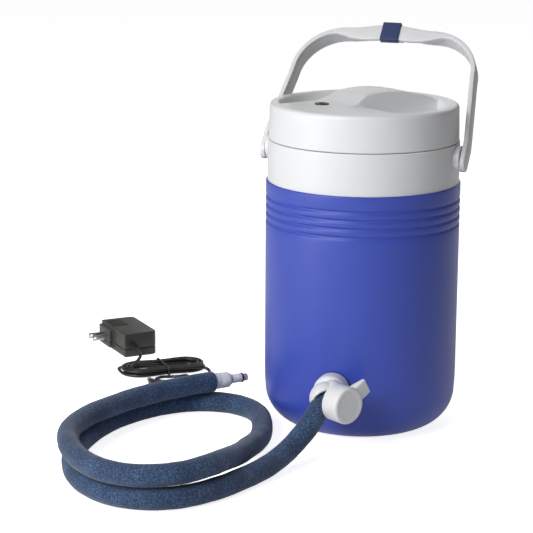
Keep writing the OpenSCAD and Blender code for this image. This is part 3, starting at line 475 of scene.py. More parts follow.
def brushed_group():
    """Metal with fine lines drawn along one axis."""
    group, given, result = group_with(
        "Brushed Lines",
        [
            ("Color", "NodeSocketColor", (0.6, 0.6, 0.6, 1)),
            ("Line Scale", "NodeSocketFloat", 900.0),
            ("Roughness", "NodeSocketFloat", 0.3),
        ],
        [("Color", "NodeSocketColor"), ("Roughness", "NodeSocketFloat"), ("Height", "NodeSocketFloat")],
    )
    link = group.links.new
    place = node(group, "ShaderNodeTexCoord", (-900, -300))
    stretch = node(group, "ShaderNodeMapping", (-700, -100))
    stretch.inputs["Scale"].default_value = (1, 1, 0.06)
    link(place.outputs["Object"], stretch.inputs["Vector"])
    lines = node(group, "ShaderNodeTexNoise", (-480, 0))
    lines.inputs["Detail"].default_value = 3
    link(stretch.outputs["Vector"], lines.inputs["Vector"])
    link(given.outputs["Line Scale"], lines.inputs["Scale"])
    tone = node(group, "ShaderNodeMapRange", (-250, 150))
    tone.inputs["To Min"].default_value = 0.86
    tone.inputs["To Max"].default_value = 1.1
    link(lines.outputs["Fac"], tone.inputs["Value"])
    colour = node(group, "ShaderNodeHueSaturation", (50, 200))
    link(given.outputs["Color"], colour.inputs["Color"])
    link(tone.outputs["Result"], colour.inputs["Value"])
    link(colour.outputs["Color"], result.inputs["Color"])
    rough = node(group, "ShaderNodeMath", (50, 0), operation="MULTIPLY_ADD")
    rough.inputs[1].default_value = 0.2
    link(lines.outputs["Fac"], rough.inputs[0])
    link(given.outputs["Roughness"], rough.inputs[2])
    link(rough.outputs[0], result.inputs["Roughness"])
    link(lines.outputs["Fac"], result.inputs["Height"])
    return group


def material_with(name, group, bump, distance, height, surface, **values):
    """A material of one Principled shader fed by a group, with a bump from one of its outputs."""
    made = bpy.data.materials.new(name)
    made.use_nodes = True
    tree = made.node_tree
    shader = tree.nodes["Principled BSDF"]
    finish = node(tree, "ShaderNodeGroup", (-500, 200), node_tree=group)
    for label, value in values.items():
        finish.inputs[label.replace("_", " ")].default_value = value
    relief = node(tree, "ShaderNodeBump", (-250, -150))
    relief.inputs["Strength"].default_value = bump
    relief.inputs["Distance"].default_value = distance
    tree.links.new(finish.outputs["Color"], shader.inputs["Base Color"])
    tree.links.new(finish.outputs["Roughness"], shader.inputs["Roughness"])
    tree.links.new(finish.outputs[height], relief.inputs["Height"])
    tree.links.new(relief.outputs["Normal"], shader.inputs["Normal"])
    for label, value in surface.items():
        shader.inputs[label].default_value = value
    made.diffuse_color = shader.inputs["Base Color"].default_value
    return made


def srgb(r, g, b):
    """A colour as seen, 0 to 255, in the shader's linear values."""
    return (*(((v / 255 + 0.055) / 1.055) ** 2.4 if v > 10 else v / 3294.6 for v in (r, g, b)), 1)


def make_materials():
    """Every finish of the object, by name."""
    moulded, mottled, brushed = moulded_group(), mottled_group(), brushed_group()

    def plastic(name, colour, rough, tone=0.05, bump=0.06, grain=900.0, change=0.08, **surface):
        return material_with(
            name, moulded, bump, 0.0002, "Grain", surface,
            Color=srgb(*colour), Roughness=rough, Tone=tone, Grain_Scale=grain, Roughness_Change=change,
        )

    def metal(name, colour, rough):
        return material_with(
            name, brushed, 0.1, 0.0001, "Height", {"Metallic": 1.0}, Color=srgb(*colour), Roughness=rough
        )

    return {
        "shell": plastic("Jug blue", (54, 74, 172), 0.38, 0.06, 0.05, 700.0),
        "white": plastic("Moulded white", (219, 220, 221), 0.38, 0.03, 0.05, 800.0),
        "bail": plastic("Bail white", (212, 213, 215), 0.42, 0.03, 0.05, 800.0),
        "clip": plastic("Clip navy", (38, 54, 98), 0.45, 0.08, 0.08),
        "hose": material_with(
            "Hose foam", mottled, 0.55, 0.0006, "Height", {"Sheen Weight": 0.2, "Sheen Roughness": 0.5},
            Ground=srgb(26, 46, 80), Fleck=srgb(70, 104, 140),
        ),
        "valve": plastic("Valve white", (225, 226, 227), 0.36, 0.03, 0.04, 800.0),
        "nipple": plastic("Nipple white", (226, 229, 234), 0.3, 0.03, 0.03),
        "tip": plastic("Clear tip", (205, 198, 228), 0.12, 0.02, 0.02, **{"Transmission Weight": 0.5}),
        "rubber": plastic("Seal rubber", (34, 34, 37), 0.62, 0.1, 0.12),
        "black": plastic("Black plastic", (30, 30, 32), 0.42, 0.1, 0.1),
        "adapter": plastic("Adapter case", (58, 58, 55), 0.4, 0.12, 0.18, 1500.0),
        "cord": plastic("Cord vinyl", (26, 26, 28), 0.38, 0.1, 0.08),
        "liner": plastic("Liner white", (232, 232, 228), 0.4, 0.03),
        "foam": plastic("Poured foam", (228, 216, 168), 0.85, 0.12, 0.4, 500.0),
        "board": plastic("Board green", (30, 104, 60), 0.4, 0.08, 0.1),
        "wire": plastic("Wire red", (170, 34, 34), 0.4),
        "silicone": plastic("Silicone tube", (206, 214, 218), 0.3, 0.03, 0.03, **{"Transmission Weight": 0.3}),
        "yoke": plastic("Yoke grey", (188, 190, 192), 0.45),
        "coil": plastic("Coil winding", (150, 96, 52), 0.4, 0.1, 0.3, 1200.0),
        "steel": metal("Brushed steel", (196, 198, 200), 0.26),
        "nickel": metal("Plug nickel", (204, 202, 198), 0.2),
    }


MATERIALS = {}


# ---- Settings ----


class JugSettings(bpy.types.PropertyGroup):
    groove_depth: bpy.props.FloatProperty(
        name="Groove depth", description="Depth of the four grooves below the collar",
        default=1.4 * MM, min=0.0, max=2 * MM, unit="LENGTH",
    )
    seam_gap: bpy.props.FloatProperty(
        name="Seam gap", description="Depth of the dark lines between shell, collar and lid",
        default=0.8 * MM, min=0.0, max=2 * MM, unit="LENGTH",
    )


class LidSettings(bpy.types.PropertyGroup):
    hump: bpy.props.FloatProperty(
        name="Hump", description="Height of the bridge's hump above its flat part",
        default=12 * MM, min=5 * MM, max=14 * MM, unit="LENGTH",
    )
    fillet: bpy.props.FloatProperty(
        name="Fillet", description="Softness of the lid's inner corners",
        default=2.2 * MM, min=0.5 * MM, max=4 * MM, unit="LENGTH",
    )


class HoseSettings(bpy.types.PropertyGroup):
    radius: bpy.props.FloatProperty(
        name="Radius", description="Radius of the insulated hose",
        default=11 * MM, min=8 * MM, max=12 * MM, unit="LENGTH",
    )
    unevenness: bpy.props.FloatProperty(
        name="Unevenness", description="How far the foam sleeve swells and dips",
        default=0.35 * MM, min=0.0, max=1 * MM, unit="LENGTH",
    )


class AdapterSettings(bpy.types.PropertyGroup):
    corner: bpy.props.FloatProperty(
        name="Corner", description="Rounding of the case's edges",
        default=2.2 * MM, min=0.5 * MM, max=4 * MM, unit="LENGTH",
    )


class StageSettings(bpy.types.PropertyGroup):
    key: bpy.props.FloatProperty(
        name="Key light", description="Power of the large light on the left", default=48.0, min=0.0, unit="POWER"
    )
    fill: bpy.props.FloatProperty(
        name="Fill light", description="Power of the light on the right", default=0.3, min=0.0, unit="POWER"
    )
    ambient: bpy.props.FloatProperty(
        name="Ambient", description="Strength of the even light from all sides", default=0.14, min=0.0
    )


SETTINGS = {
    "jug": JugSettings, "lid": LidSettings, "hose": HoseSettings,
    "adapter": AdapterSettings, "stage": StageSettings,
}


def settings(name):
    return getattr(bpy.context.scene, "therapy_" + name)


# ---- Stage ----


class THERAPY_OT_stage(bpy.types.Operator):
    """Camera, lamps, world and floor"""

    bl_idname = "therapy.stage"
    bl_label = "Stage"

    def execute(self, context):
        MATERIALS.update(make_materials())
        values = settings("stage")
        scene = context.scene
        scene.view_settings.view_transform = "Standard"
        deselect()
        bpy.ops.object.camera_add()
        camera = context.object
        camera.name = "Photograph view"
        camera.data.lens = 128.3
        camera.data.sensor_width = 36
        camera.data.clip_end = 30
        pitch, roll = radians(13.30), radians(0.39)
        ahead = Vector((0, cos(pitch), -sin(pitch)))
        top = Vector((0, sin(pitch), cos(pitch)))
        right = Vector((1, 0, 0))
        camera_right = cos(roll) * right + sin(roll) * top
        camera_top = cos(roll) * top - sin(roll) * right
        turn = Matrix((camera_right, camera_top, -ahead)).transposed()
        camera.matrix_world = Matrix.Translation(at(-98.8, -1923.6, 617.5)) @ turn.to_4x4()
        scene.camera = camera

        def lamp(name, place, target, size, power):
            bpy.ops.object.light_add(type="AREA", location=place)
            light = context.object
            light.name = name
            light.data.shape = "RECTANGLE"
            light.data.size, light.data.size_y = size
            light.data.energy = power
            light.rotation_euler = (Vector(target) - Vector(place)).to_track_quat("-Z", "Y").to_euler()

        lamp("Key", (-1.45, -1.67, 1.40), (-0.05, 0, 0.15), (1.2, 1.0), values.key)
        lamp("Fill", (1.7, -1.3, 0.8), (0, 0, 0.15), (1.0, 1.2), values.fill)
        lamp("Low card", (-1.5, -0.75, 0.34), (-0.05, 0, 0.15), (0.9, 0.66), 5.5)
        lamp("Top", (-0.1, 0.2, 1.9), (-0.05, 0, 0.1), (1.4, 1.4), 3)
        lamp("Edge", (0.4, 1.7, 1.0), (0, 0, 0.2), (1.4, 0.8), 5)

        world = bpy.data.worlds.new("Studio")
        scene.world = world
        world.use_nodes = True
        tree = world.node_tree
        tree.nodes.clear()
        seen = node(tree, "ShaderNodeLightPath", (-900, 200))
        glossy = node(tree, "ShaderNodeMath", (-650, 300), operation="MAXIMUM")
        dimmed = node(tree, "ShaderNodeMath", (-450, 300), operation="MULTIPLY")
        dimmed.inputs[1].default_value = 0.15
        either = node(tree, "ShaderNodeMath", (-250, 200), operation="MAXIMUM")
        tree.links.new(seen.outputs["Is Glossy Ray"], glossy.inputs[0])
        tree.links.new(seen.outputs["Is Transmission Ray"], glossy.inputs[1])
        tree.links.new(glossy.outputs[0], dimmed.inputs[0])
        tree.links.new(dimmed.outputs[0], either.inputs[0])
        tree.links.new(seen.outputs["Is Camera Ray"], either.inputs[1])
        backdrop = node(tree, "ShaderNodeBackground", (-250, -50))
        backdrop.inputs["Color"].default_value = (1, 1, 1, 1)
        backdrop.inputs["Strength"].default_value = values.ambient
        white = node(tree, "ShaderNodeBackground", (-250, -200))
        white.inputs["Color"].default_value = (1, 1, 1, 1)
        mix = node(tree, "ShaderNodeMixShader", (0, 0))
        tree.links.new(either.outputs[0], mix.inputs[0])
        tree.links.new(backdrop.outputs[0], mix.inputs[1])
        tree.links.new(white.outputs[0], mix.inputs[2])
        out = node(tree, "ShaderNodeOutputWorld", (200, 0))
        tree.links.new(mix.outputs[0], out.inputs[0])

        deselect()
        bpy.ops.mesh.primitive_circle_add(vertices=96, radius=9, fill_type="NGON", location=(0, 0, -0.0004))
        floor = named("Floor")
        settle(floor)
        paper = bpy.data.materials.new("White floor")
        paper.use_nodes = True
        tree = paper.node_tree
        shader = tree.nodes["Principled BSDF"]
        shader.inputs["Base Color"].default_value = (0.86, 0.86, 0.87, 1)
        shader.inputs["Roughness"].default_value = 0.9
        shader.inputs["Specular IOR Level"].default_value = 0.1
        seen = node(tree, "ShaderNodeLightPath", (-900, 300))
        dimmed = node(tree, "ShaderNodeMath", (-650, 200), operation="MULTIPLY")
        dimmed.inputs[1].default_value = 0.35
        either = node(tree, "ShaderNodeMath", (-450, 300), operation="MAXIMUM")
        tree.links.new(seen.outputs["Is Glossy Ray"], dimmed.inputs[0])
        tree.links.new(dimmed.outputs[0], either.inputs[0])
        tree.links.new(seen.outputs["Is Camera Ray"], either.inputs[1])
        level = node(tree, "ShaderNodeMath", (-250, 300), operation="MULTIPLY")
        level.inputs[1].default_value = 0.84
        tree.links.new(either.outputs[0], level.inputs[0])
        shader.inputs["Emission Color"].default_value = (1, 1, 1, 1)
        tree.links.new(level.outputs[0], shader.inputs["Emission Strength"])
        paint(floor, paper)
        return {"FINISHED"}


# ---- Cords ----


class THERAPY_OT_hose(bpy.types.Operator):
    """The insulated hose and the quick connector on its end"""

    bl_idname = "therapy.hose"
    bl_label = "Hose and connector"

    def execute(self, context):
        values = settings("hose")
        line = through(HOSE_ROUTE, 5)
        sides = 36
        rings = []
        for here, way, side, top in along(line):
            ring = []
            for k in range(sides):
                a = tau * k / sides
                out = cos(a) * side + sin(a) * top
                swell = noise.noise((here + out * values.radius) * 90) * values.unevenness
                ring.append(here + out * (values.radius - 0.0003 + swell))
            rings.append(ring)
        hose = wrapped("Hose_sleeve", rings)
        smooth(hose, 50)
        paint(hose, MATERIALS["hose"])
        ride(hose, "jug", "hose_foam", "insulated_hose")

        barrel = spun(
            "Connector_barrel",
            [(0, 0), (4.4 * MM, 0)]
            + arc(8.1 * MM, 0.4 * MM, 0.4 * MM, -90, 0, 4)
            + [(8.5 * MM, 7 * MM), (8.3 * MM, 7.5 * MM), (8.3 * MM, 8.2 * MM), (8.45 * MM, 8.7 * MM)]
            + arc(6.9 * MM, 17.4 * MM, 1.2 * MM, 5, 60, 4)
            + [(6.4 * MM, 19.9 * MM)]
            + arc(5.1 * MM, 20.5 * MM, 1.0 * MM, 20, 90, 5)
            + [(0, 21.5 * MM)],
            64,
        )
        nipple = spun(
            "Connector_nipple",
            [(0, 21.3 * MM), (4.2 * MM, 21.3 * MM), (4.2 * MM, 23.3 * MM)]
            + arc(4.3 * MM, 23.8 * MM, 0.5 * MM, -90, 0, 4)
            + [(4.8 * MM, 26 * MM), (4.4 * MM, 26.4 * MM), (4.4 * MM, 27.2 * MM), (4.8 * MM, 27.6 * MM)]
            + arc(4.3 * MM, 32.8 * MM, 0.5 * MM, 0, 90, 4)
            + [(3.8 * MM, 33.3 * MM), (3.8 * MM, 35.3 * MM), (0, 35.3 * MM)],
            48,
        )
        seal = spun(
            "Connector_seal",
            [(3.8 * MM, 33.35 * MM)] + arc(4.3 * MM, 34.3 * MM, 0.95 * MM, -90, 90, 12)
            + [(3.8 * MM, 35.25 * MM), (3.8 * MM, 33.35 * MM)],
            48,
        )
        tip = spun(
            "Connector_tip",
            [(0, 35.3 * MM), (4.0 * MM, 35.3 * MM), (4.0 * MM, 38.6 * MM)]
            + arc(2.9 * MM, 39.6 * MM, 1.1 * MM, 10, 90, 6)
            + [(2.4 * MM, 40.8 * MM), (2.2 * MM, 40.0 * MM), (2.2 * MM, 36.5 * MM), (0, 36.5 * MM)],
            48,
        )
        for piece, finish, slot, cad in (
            (barrel, "valve", "moulded_white", "connector_barrel"),
            (nipple, "nipple", "moulded_white", "connector_nipple"),
            (seal, "rubber", "seal_rubber", "connector_seal"),
            (tip, "tip", "tip_clear", "connector_tip"),
        ):
            stand(piece, HOSE_END, HOSE_OUT)
            outwards(piece)
            smooth(piece, 40)
            paint(piece, MATERIALS[finish])
            ride(piece, "jug", slot, cad)
        return {"FINISHED"}


def turned(x, y):
    """A point in the hank's own plane, placed."""
    c, s = cos(radians(HANK_TURN)), sin(radians(HANK_TURN))
    return Vector((x * c - y * s, x * s + y * c, 0)) * MM + HANK


def hank_point(loop, run=54, outer=22.5, step=4.4, waist=3, low=2.6, climb=4.4):
    """Where the wound cord is after that many loops: in on the lower layer, out on the upper."""
    middle = HANK_LOOPS / 2
    r = outer - step * (middle - abs(loop - middle))
    f = loop - int(loop + 1e-6)

    def side_run(side, s):
        return s * run, side * (r - waist * (1 + cos(tau * s)) / 2)

    def end_arc(end, angle):
        return end * run / 2 + r * cos(radians(angle)), r * sin(radians(angle))

    if f < 1 / 6:
        x, y = end_arc(-1, 180 + 540 * f)
    elif f < 1 / 3:
        x, y = side_run(-1, 6 * f - 1.5)
    elif f < 2 / 3:
        x, y = end_arc(1, 540 * (f - 1 / 3) - 90)
    elif f < 5 / 6:
        x, y = side_run(1, 4.5 - 6 * f)
    else:
        x, y = end_arc(-1, 90 + 540 * (f - 5 / 6))
    z = low + climb * max(0, min(1, 6 * (loop - middle)))
    return turned(x, y) + UP * z * MM


class THERAPY_OT_adapter_cord(bpy.types.Operator):
    """The adapter's cord from its strain relief, through the hank, to the barrel plug"""

    bl_idname = "therapy.adapter_cord"
    bl_label = "Adapter cord"

    def execute(self, context):
        relief_end = ADAPTER + (37.5 + 14) * MM * ADAPTER_LONG - 11.5 * MM * ADAPTER_WIDE + UP * 14 * MM
        way = heading(HANK_TURN)
        side = heading(HANK_TURN + 90)
        start = hank_point(0) + side * 3.6 * MM
        finish = hank_point(HANK_LOOPS) + way * 3.6 * MM
        lead = [relief_end, relief_end + 3.6 * MM * ADAPTER_LONG]
        lead += [at(*p) for p in LEAD_ROUTE] + [start + side * 3.6 * MM]
        steps = 36
        count = round(HANK_LOOPS * steps)
        hank = [start] + [hank_point(k / steps) for k in range(count + 1)] + [finish]
        tail = [finish + way * 3.6 * MM] + [at(*p) for p in TAIL_ROUTE] + [PLUG]
        line = through(lead + [start], 5)[:-1] + hank + through([finish] + tail, 5)[1:]
        sides = 12
        rings = [
            [here + CORD_R * 0.97 * (cos(tau * k / sides) * s + sin(tau * k / sides) * t) for k in range(sides)]
            for here, _, s, t in along(line)
        ]
        cord = wrapped("Adapter_cord", rings)
        smooth(cord, 60)
        paint(cord, MATERIALS["cord"])
        ride(cord, "jug", "cord_black", "adapter_lead", "adapter_hank", "adapter_tail")

        half, low, top, band = 21.5, 0.0, 9.0, 0.6
        tie = block("Hank_tie", (4 * MM, 2 * (half + band) * MM, (top + band) * MM), (0, 0, (top + band) / 2 * MM))
        soften(tie, 2.2 * MM, 4)
        hole = block("hole", (8 * MM, 2 * half * MM, (top - band) * MM), (0, 0, (top + band) / 2 * MM))
        soften(hole, 1.8 * MM, 4)
        cut(tie, hole)
        tie.matrix_world = Matrix.Translation(HANK) @ Matrix.Rotation(radians(HANK_TURN), 4, "Z")
        settle(tie)
        smooth(tie, 40)
        paint(tie, MATERIALS["black"])
        ride(tie, "jug", "tie_grey", "hank_tie")

        plug = self.plug()
        metal = spun(
            "Plug_barrel",
            [(1.05 * MM, 5 * MM), (2.35 * MM, 5 * MM), (2.35 * MM, 9.5 * MM), (2.75 * MM, 9.5 * MM), (2.75 * MM, 19.1 * MM)]
            + arc(2.35 * MM, 19.1 * MM, 0.4 * MM, 0, 90, 4)
            + [(1.3 * MM, 19.5 * MM), (1.05 * MM, 19.1 * MM), (1.05 * MM, 5 * MM)],
            40,
        )
        stand(metal, PLUG + 17.5 * MM * PLUG_OUT, PLUG_SIDE)
        outwards(metal)
        smooth(metal, 40)
        paint(metal, MATERIALS["nickel"])
        ride(metal, "jug", "plug_metal", "plug_barrel")
        return {"FINISHED"}

    def plug(self):
        """The right-angled plug: a ribbed sleeve, then a rounded elbow."""
        outline = [(0, 0)]
        for i in range(4):
            r = (2.8 + 0.45 * i) * MM
            z = (0.4 + 2.8 * i) * MM
            outline += [(r - 0.5 * MM, z), (r, z + 0.3 * MM), (r, z + 1.5 * MM), (r - 0.5 * MM, z + 1.9 * MM)]
            outline += [(r - 0.55 * MM, z + 2.6 * MM)]
        outline += arc(4.0 * MM, 12.6 * MM, 0.5 * MM, -60, 0, 3)
        outline += arc(3.5 * MM, 21 * MM, 1.0 * MM, 0, 90, 5) + [(0, 22 * MM)]
        plug = spun("Barrel_plug", outline, 48)
        elbow = spun(
            "elbow",
            [(0, 0), (4.5 * MM, 0), (4.5 * MM, 8.2 * MM)]
            + arc(3.2 * MM, 8.2 * MM, 1.3 * MM, 0, 90, 5)
            + [(2.4 * MM, 9.5 * MM), (2.4 * MM, 5 * MM), (0, 5 * MM)],
            48,
        )
        stand(plug, PLUG, PLUG_OUT)
        stand(elbow, PLUG + 17.5 * MM * PLUG_OUT, PLUG_SIDE)
        outwards(plug)
        outwards(elbow)
        cut(plug, elbow, "UNION")
        smooth(plug, 40)
        paint(plug, MATERIALS["cord"])
        ride(plug, "jug", "cord_black", "barrel_plug")
        return plug


# ---- Jug ----


class THERAPY_OT_shell(bpy.types.Operator):
    """The blue outer shell with its rounded foot and its grooves"""

    bl_idname = "therapy.shell"
    bl_label = "Outer shell"

    def execute(self, context):
        depth = settings("jug").groove_depth
        wall_r = SHELL_R
        outline = [(0, 0), (61.2 * MM - 1.0 * MM, 0)]
        outline += arc(61.2 * MM, 38 * MM, 38 * MM, -90, 0, 20)
        outline += [(wall_r - 0.5 * MM, 42 * MM), (wall_r - 0.2 * MM, 48 * MM)]
        outline += [(wall_r, z * MM) for z in (60, 100, 140, 180, 205)]
        for i in reversed(range(4)):
            centre = SHELL_TOP - (15.6 + 8.6 * i) * MM
            outline += [
                (wall_r, centre - 2.6 * MM), (wall_r - 0.12 * MM, centre - 2.1 * MM),
                (wall_r - 0.5 * MM, centre - 1.5 * MM), (wall_r - 0.85 * depth, centre - 0.8 * MM),
                (wall_r - depth, centre), (wall_r - 0.85 * depth, centre + 0.8 * MM),
                (wall_r - 0.5 * MM, centre + 1.5 * MM), (wall_r - 0.12 * MM, centre + 2.1 * MM),
                (wall_r, centre + 2.6 * MM),
            ]
        outline += [(wall_r, SHELL_TOP - 3 * MM)]
        outline += arc(wall_r - 0.9 * MM, SHELL_TOP - 0.9 * MM, 0.9 * MM, 0, 90, 5)
        outline += [(96.7 * MM, SHELL_TOP), (96.7 * MM, 38 * MM)]
        outline += arc(61.2 * MM, 38 * MM, 35.5 * MM, 0, -90, 12) + [(0, 2.5 * MM)]
        shell = spun("Outer_shell", outline, 180)
        bore = rod("bore", 9.05 * MM, 0.05, 0.12)
        face = rod("face", 17 * MM, 98.5 * MM, 0.12)
        for tool in (bore, face):
            stand(tool, SPIGOT, SPIGOT_OUT)
            cut(shell, tool)
        smooth(shell, 40)
        paint(shell, MATERIALS["shell"])
        ride(shell, "jug", "jug_blue", "outer_shell")
        return {"FINISHED"}


class THERAPY_OT_collar(bpy.types.Operator):
    """The white collar with the bosses that carry the bail"""

    bl_idname = "therapy.collar"
    bl_label = "Collar"

    def execute(self, context):
        z0, z1 = SHELL_TOP, COLLAR_TOP
        outline = [(94.1 * MM, z0 - 8 * MM), (96.5 * MM, z0 - 8 * MM), (96.5 * MM, z0)]
        outline += [(97.6 * MM, z0 + 0.02 * MM)] + arc(COLLAR_R - 0.7 * MM, z0 + 0.7 * MM, 0.7 * MM, -80, 0, 4)
        outline += [(COLLAR_R, z0 + 12 * MM), (COLLAR_R, z0 + 30 * MM)]
        outline += arc(COLLAR_R - 1.2 * MM, z1 - 1.2 * MM, 1.2 * MM, 0, 90, 6)
        outline += [(82 * MM, z1), (81.2 * MM, z1 - 0.8 * MM), (81.2 * MM, z1 - 3 * MM)]
        outline += [(95.4 * MM, z1 - 3 * MM), (95.4 * MM, z0), (94.1 * MM, z0), (94.1 * MM, z0 - 8 * MM)]
        collar = spun("Collar_ring", outline, 180)
        for side in (1, -1):
            boss = spun(
                "boss",
                [(0, 89.4 * MM), (13 * MM, 89.4 * MM), (13 * MM, 97 * MM), (13 * MM, 102.4 * MM)]
                + arc(12 * MM, 102.4 * MM, 1.0 * MM, 0, 90, 5)
                + [(5.6 * MM, 103.4 * MM), (5.05 * MM, 102.9 * MM), (5.05 * MM, 90.4 * MM), (0, 90.4 * MM)],
                64,
            )
            stand(boss, PIVOT, side * BAIL_ACROSS)
            outwards(boss)
            cut(collar, boss, "UNION")
        smooth(collar, 40)
        paint(collar, MATERIALS["white"])
        ride(collar, "jug", "moulded_white", "collar_ring")
        return {"FINISHED"}


# ---- Bail ----

GRIP_HALF = 47.0
SHOULDER_R = 53.0
BAIL_LENGTH = 148.5


def crown(x):
    return 5.7 * (1 + cos(pi * min(abs(x) / GRIP_HALF, 1))) / 2


def bail_line():
    """Points (across, up, inward normal) of the bail's outer line, from its right end to its left."""
    half = []
    for a in range(0, 91, 15):
        half.append((109.0, -4 - 10 * cos(radians(a)), 10 * sin(radians(a))))
    half += [(109.0, 4.0, 10.0), (109.0, 12.0, 10.0), (108.9, 16.0, 10.0)]
    for k in range(1, 12):
        half.append((109 - 9 * k / 12, 16 + 79.5 * k / 12, 10.0))
    for a in range(0, 91, 6):
        half.append((47 + SHOULDER_R * cos(radians(a)), 95.5 + SHOULDER_R * sin(radians(a)), 10.0))
    for k in range(11, -1, -1):
        x = GRIP_HALF * k / 12
        half.append((x, BAIL_LENGTH + crown(x), 10.0))
    return half + [(-x, z, w) for x, z, w in reversed(half[:-1])]


def lip_depth(x, z):
    """Depth of the lip below the strap where the strap is at x."""
    reach = GRIP_HALF + 0.4 * SHOULDER_R
    if z < 120:
        return 0.0
    return 13 * ease(1.05 - (abs(x) / reach) ** 1.5)


class THERAPY_OT_bail(bpy.types.Operator):
    """The swinging bail and the navy clip on its grip"""

    bl_idname = "therapy.bail"
    bl_label = "Bail"

    def place(self, x, up, flat):
        return PIVOT + (x * BAIL_ACROSS + up * BAIL_UP + flat * BAIL_FLAT) * MM

    def execute(self, context):
        line = bail_line()
        rings = []
        for i, (x, up, wide) in enumerate(line):
            ax, au, _ = line[max(i - 1, 0)]
            bx, bu, _ = line[min(i + 1, len(line) - 1)]
            run = sqrt((bx - ax) ** 2 + (bu - au) ** 2)
            inx, inu = -(bu - au) / run, (bx - ax) / run
            deep = 5 + lip_depth(x, up)
            wide = max(wide, 0.4)
            thin = min(1.2, 0.45 * wide)
            ring = []

            def corner(flat, depth, start, radius, steps=3):
                for k in range(steps + 1):
                    a = radians(start + 90 * k / steps)
                    f, d = flat + radius * cos(a), depth + radius * sin(a)
                    ring.append(self.place(x + inx * d, up + inu * d, f))

            corner(wide - thin, thin, -90, thin)
            corner(wide - thin, 5 - thin, 0, thin)
            inner = max(-wide + 3, -wide + 0.45 * wide)
            fillet = min(1.5, 0.25 * (deep - 5))
            for k in range(4):
                a = radians(270 - 90 * k / 3)
                f = inner + fillet + fillet * cos(a)
                d = 5 + fillet + fillet * sin(a)
                ring.append(self.place(x + inx * d, up + inu * d, f))
            soft = 1.0 if deep > 6.5 else min(1.0, 0.45 * (inner + wide), thin)
            corner(inner - soft, deep - soft, 0, soft)
            corner(-wide + soft, deep - soft, 90, soft)
            corner(-wide + thin, thin, 180, thin)
            rings.append(ring)
        bail = wrapped("Bail_handle", rings)
        for side in (1, -1):
            pin = rod("pin", 5 * MM, 92 * MM, 106 * MM, 48)
            soften(pin, 0.6 * MM, 2)
            stand(pin, PIVOT, side * BAIL_ACROSS)
            cut(bail, pin, "UNION")
        smooth(bail, 45)
        paint(bail, MATERIALS["bail"])
        ride(bail, "bail", "bail_white", "bail_handle")
        self.clip()
        return {"FINISHED"}

    def clip(self):
        """A sleeve round the strap and its lip, open below the lip."""
        def outline(grow):
            half = 10.2 + grow
            top = 154.4 + grow
            low = 148.2 - grow
            foot = 135.2 - grow
            return [(half, top), (half, low), (-6.8 + grow, foot + 3), (-6.8 + grow, foot), (-half, foot), (-half, top)]

        def sleeve(name, grow, reach):
            rings = [
                [self.place(x, up, flat) for flat, up in outline(grow)]
                for x in (-reach, reach)
            ]
            return wrapped(name, rings)

        clip = sleeve("Handle_clip", 1.6, 10)
        soften(clip, 0.8 * MM, 3, 25)
        hollow = sleeve("hollow", 0, 14)
        cut(clip, hollow)
        smooth(clip, 35)
        paint(clip, MATERIALS["clip"])
        ride(clip, "bail", "clip_navy", "handle_clip")


# ---- Lid ----

PAD_LEVEL = 1.5
HUMP_X, HUMP_R = 20.0, 165.0
JACK_X, JACK_Y = -40.5, 18.0


def ease(x):
    x = max(0.0, min(1.0, x))
    return x * x * (3 - 2 * x)


def soft_max(a, b, k):
    """The larger of two heights, with a rounded corner of size k between them."""
    h = max(k - abs(a - b), 0.0) / k
    return max(a, b) + h * h * k / 4


def bridge_frame(x, y):
    """A point in millimetres in the bridge's own frame."""
    c, s = cos(radians(BRIDGE_TURN)), sin(radians(BRIDGE_TURN))
    return x * c + y * s, -x * s + y * c


def lid_drop(x, y, hump, fillet):
    """Height of the lid's face against its rim, in millimetres."""
    r = sqrt(x * x + y * y)
    u, v = bridge_frame(x, y)
    ramp = ease((4 - u) / 20) if v < 14.8 else 0
    dish = ((11 - PAD_LEVEL) * ramp - 11) * (1 - ease((r - 81.5) / 6.5))
    rise = max(0.0, sqrt(HUMP_R ** 2 - (u - HUMP_X) ** 2) - (HUMP_R - hump))
    rise *= ease((u + 32.5) / 30.0)
    off = abs(v - 14.8)
    side = (33 - off) / 8 * 16 - 8
    top = -PAD_LEVEL + rise
    top -= 0.9 * (max(0.0, off - 6) / 23) ** 2 * rise / hump
    bridge = -soft_max(-top, -side, fillet)
    return min(soft_max(dish, bridge, fillet), max(dish, top))


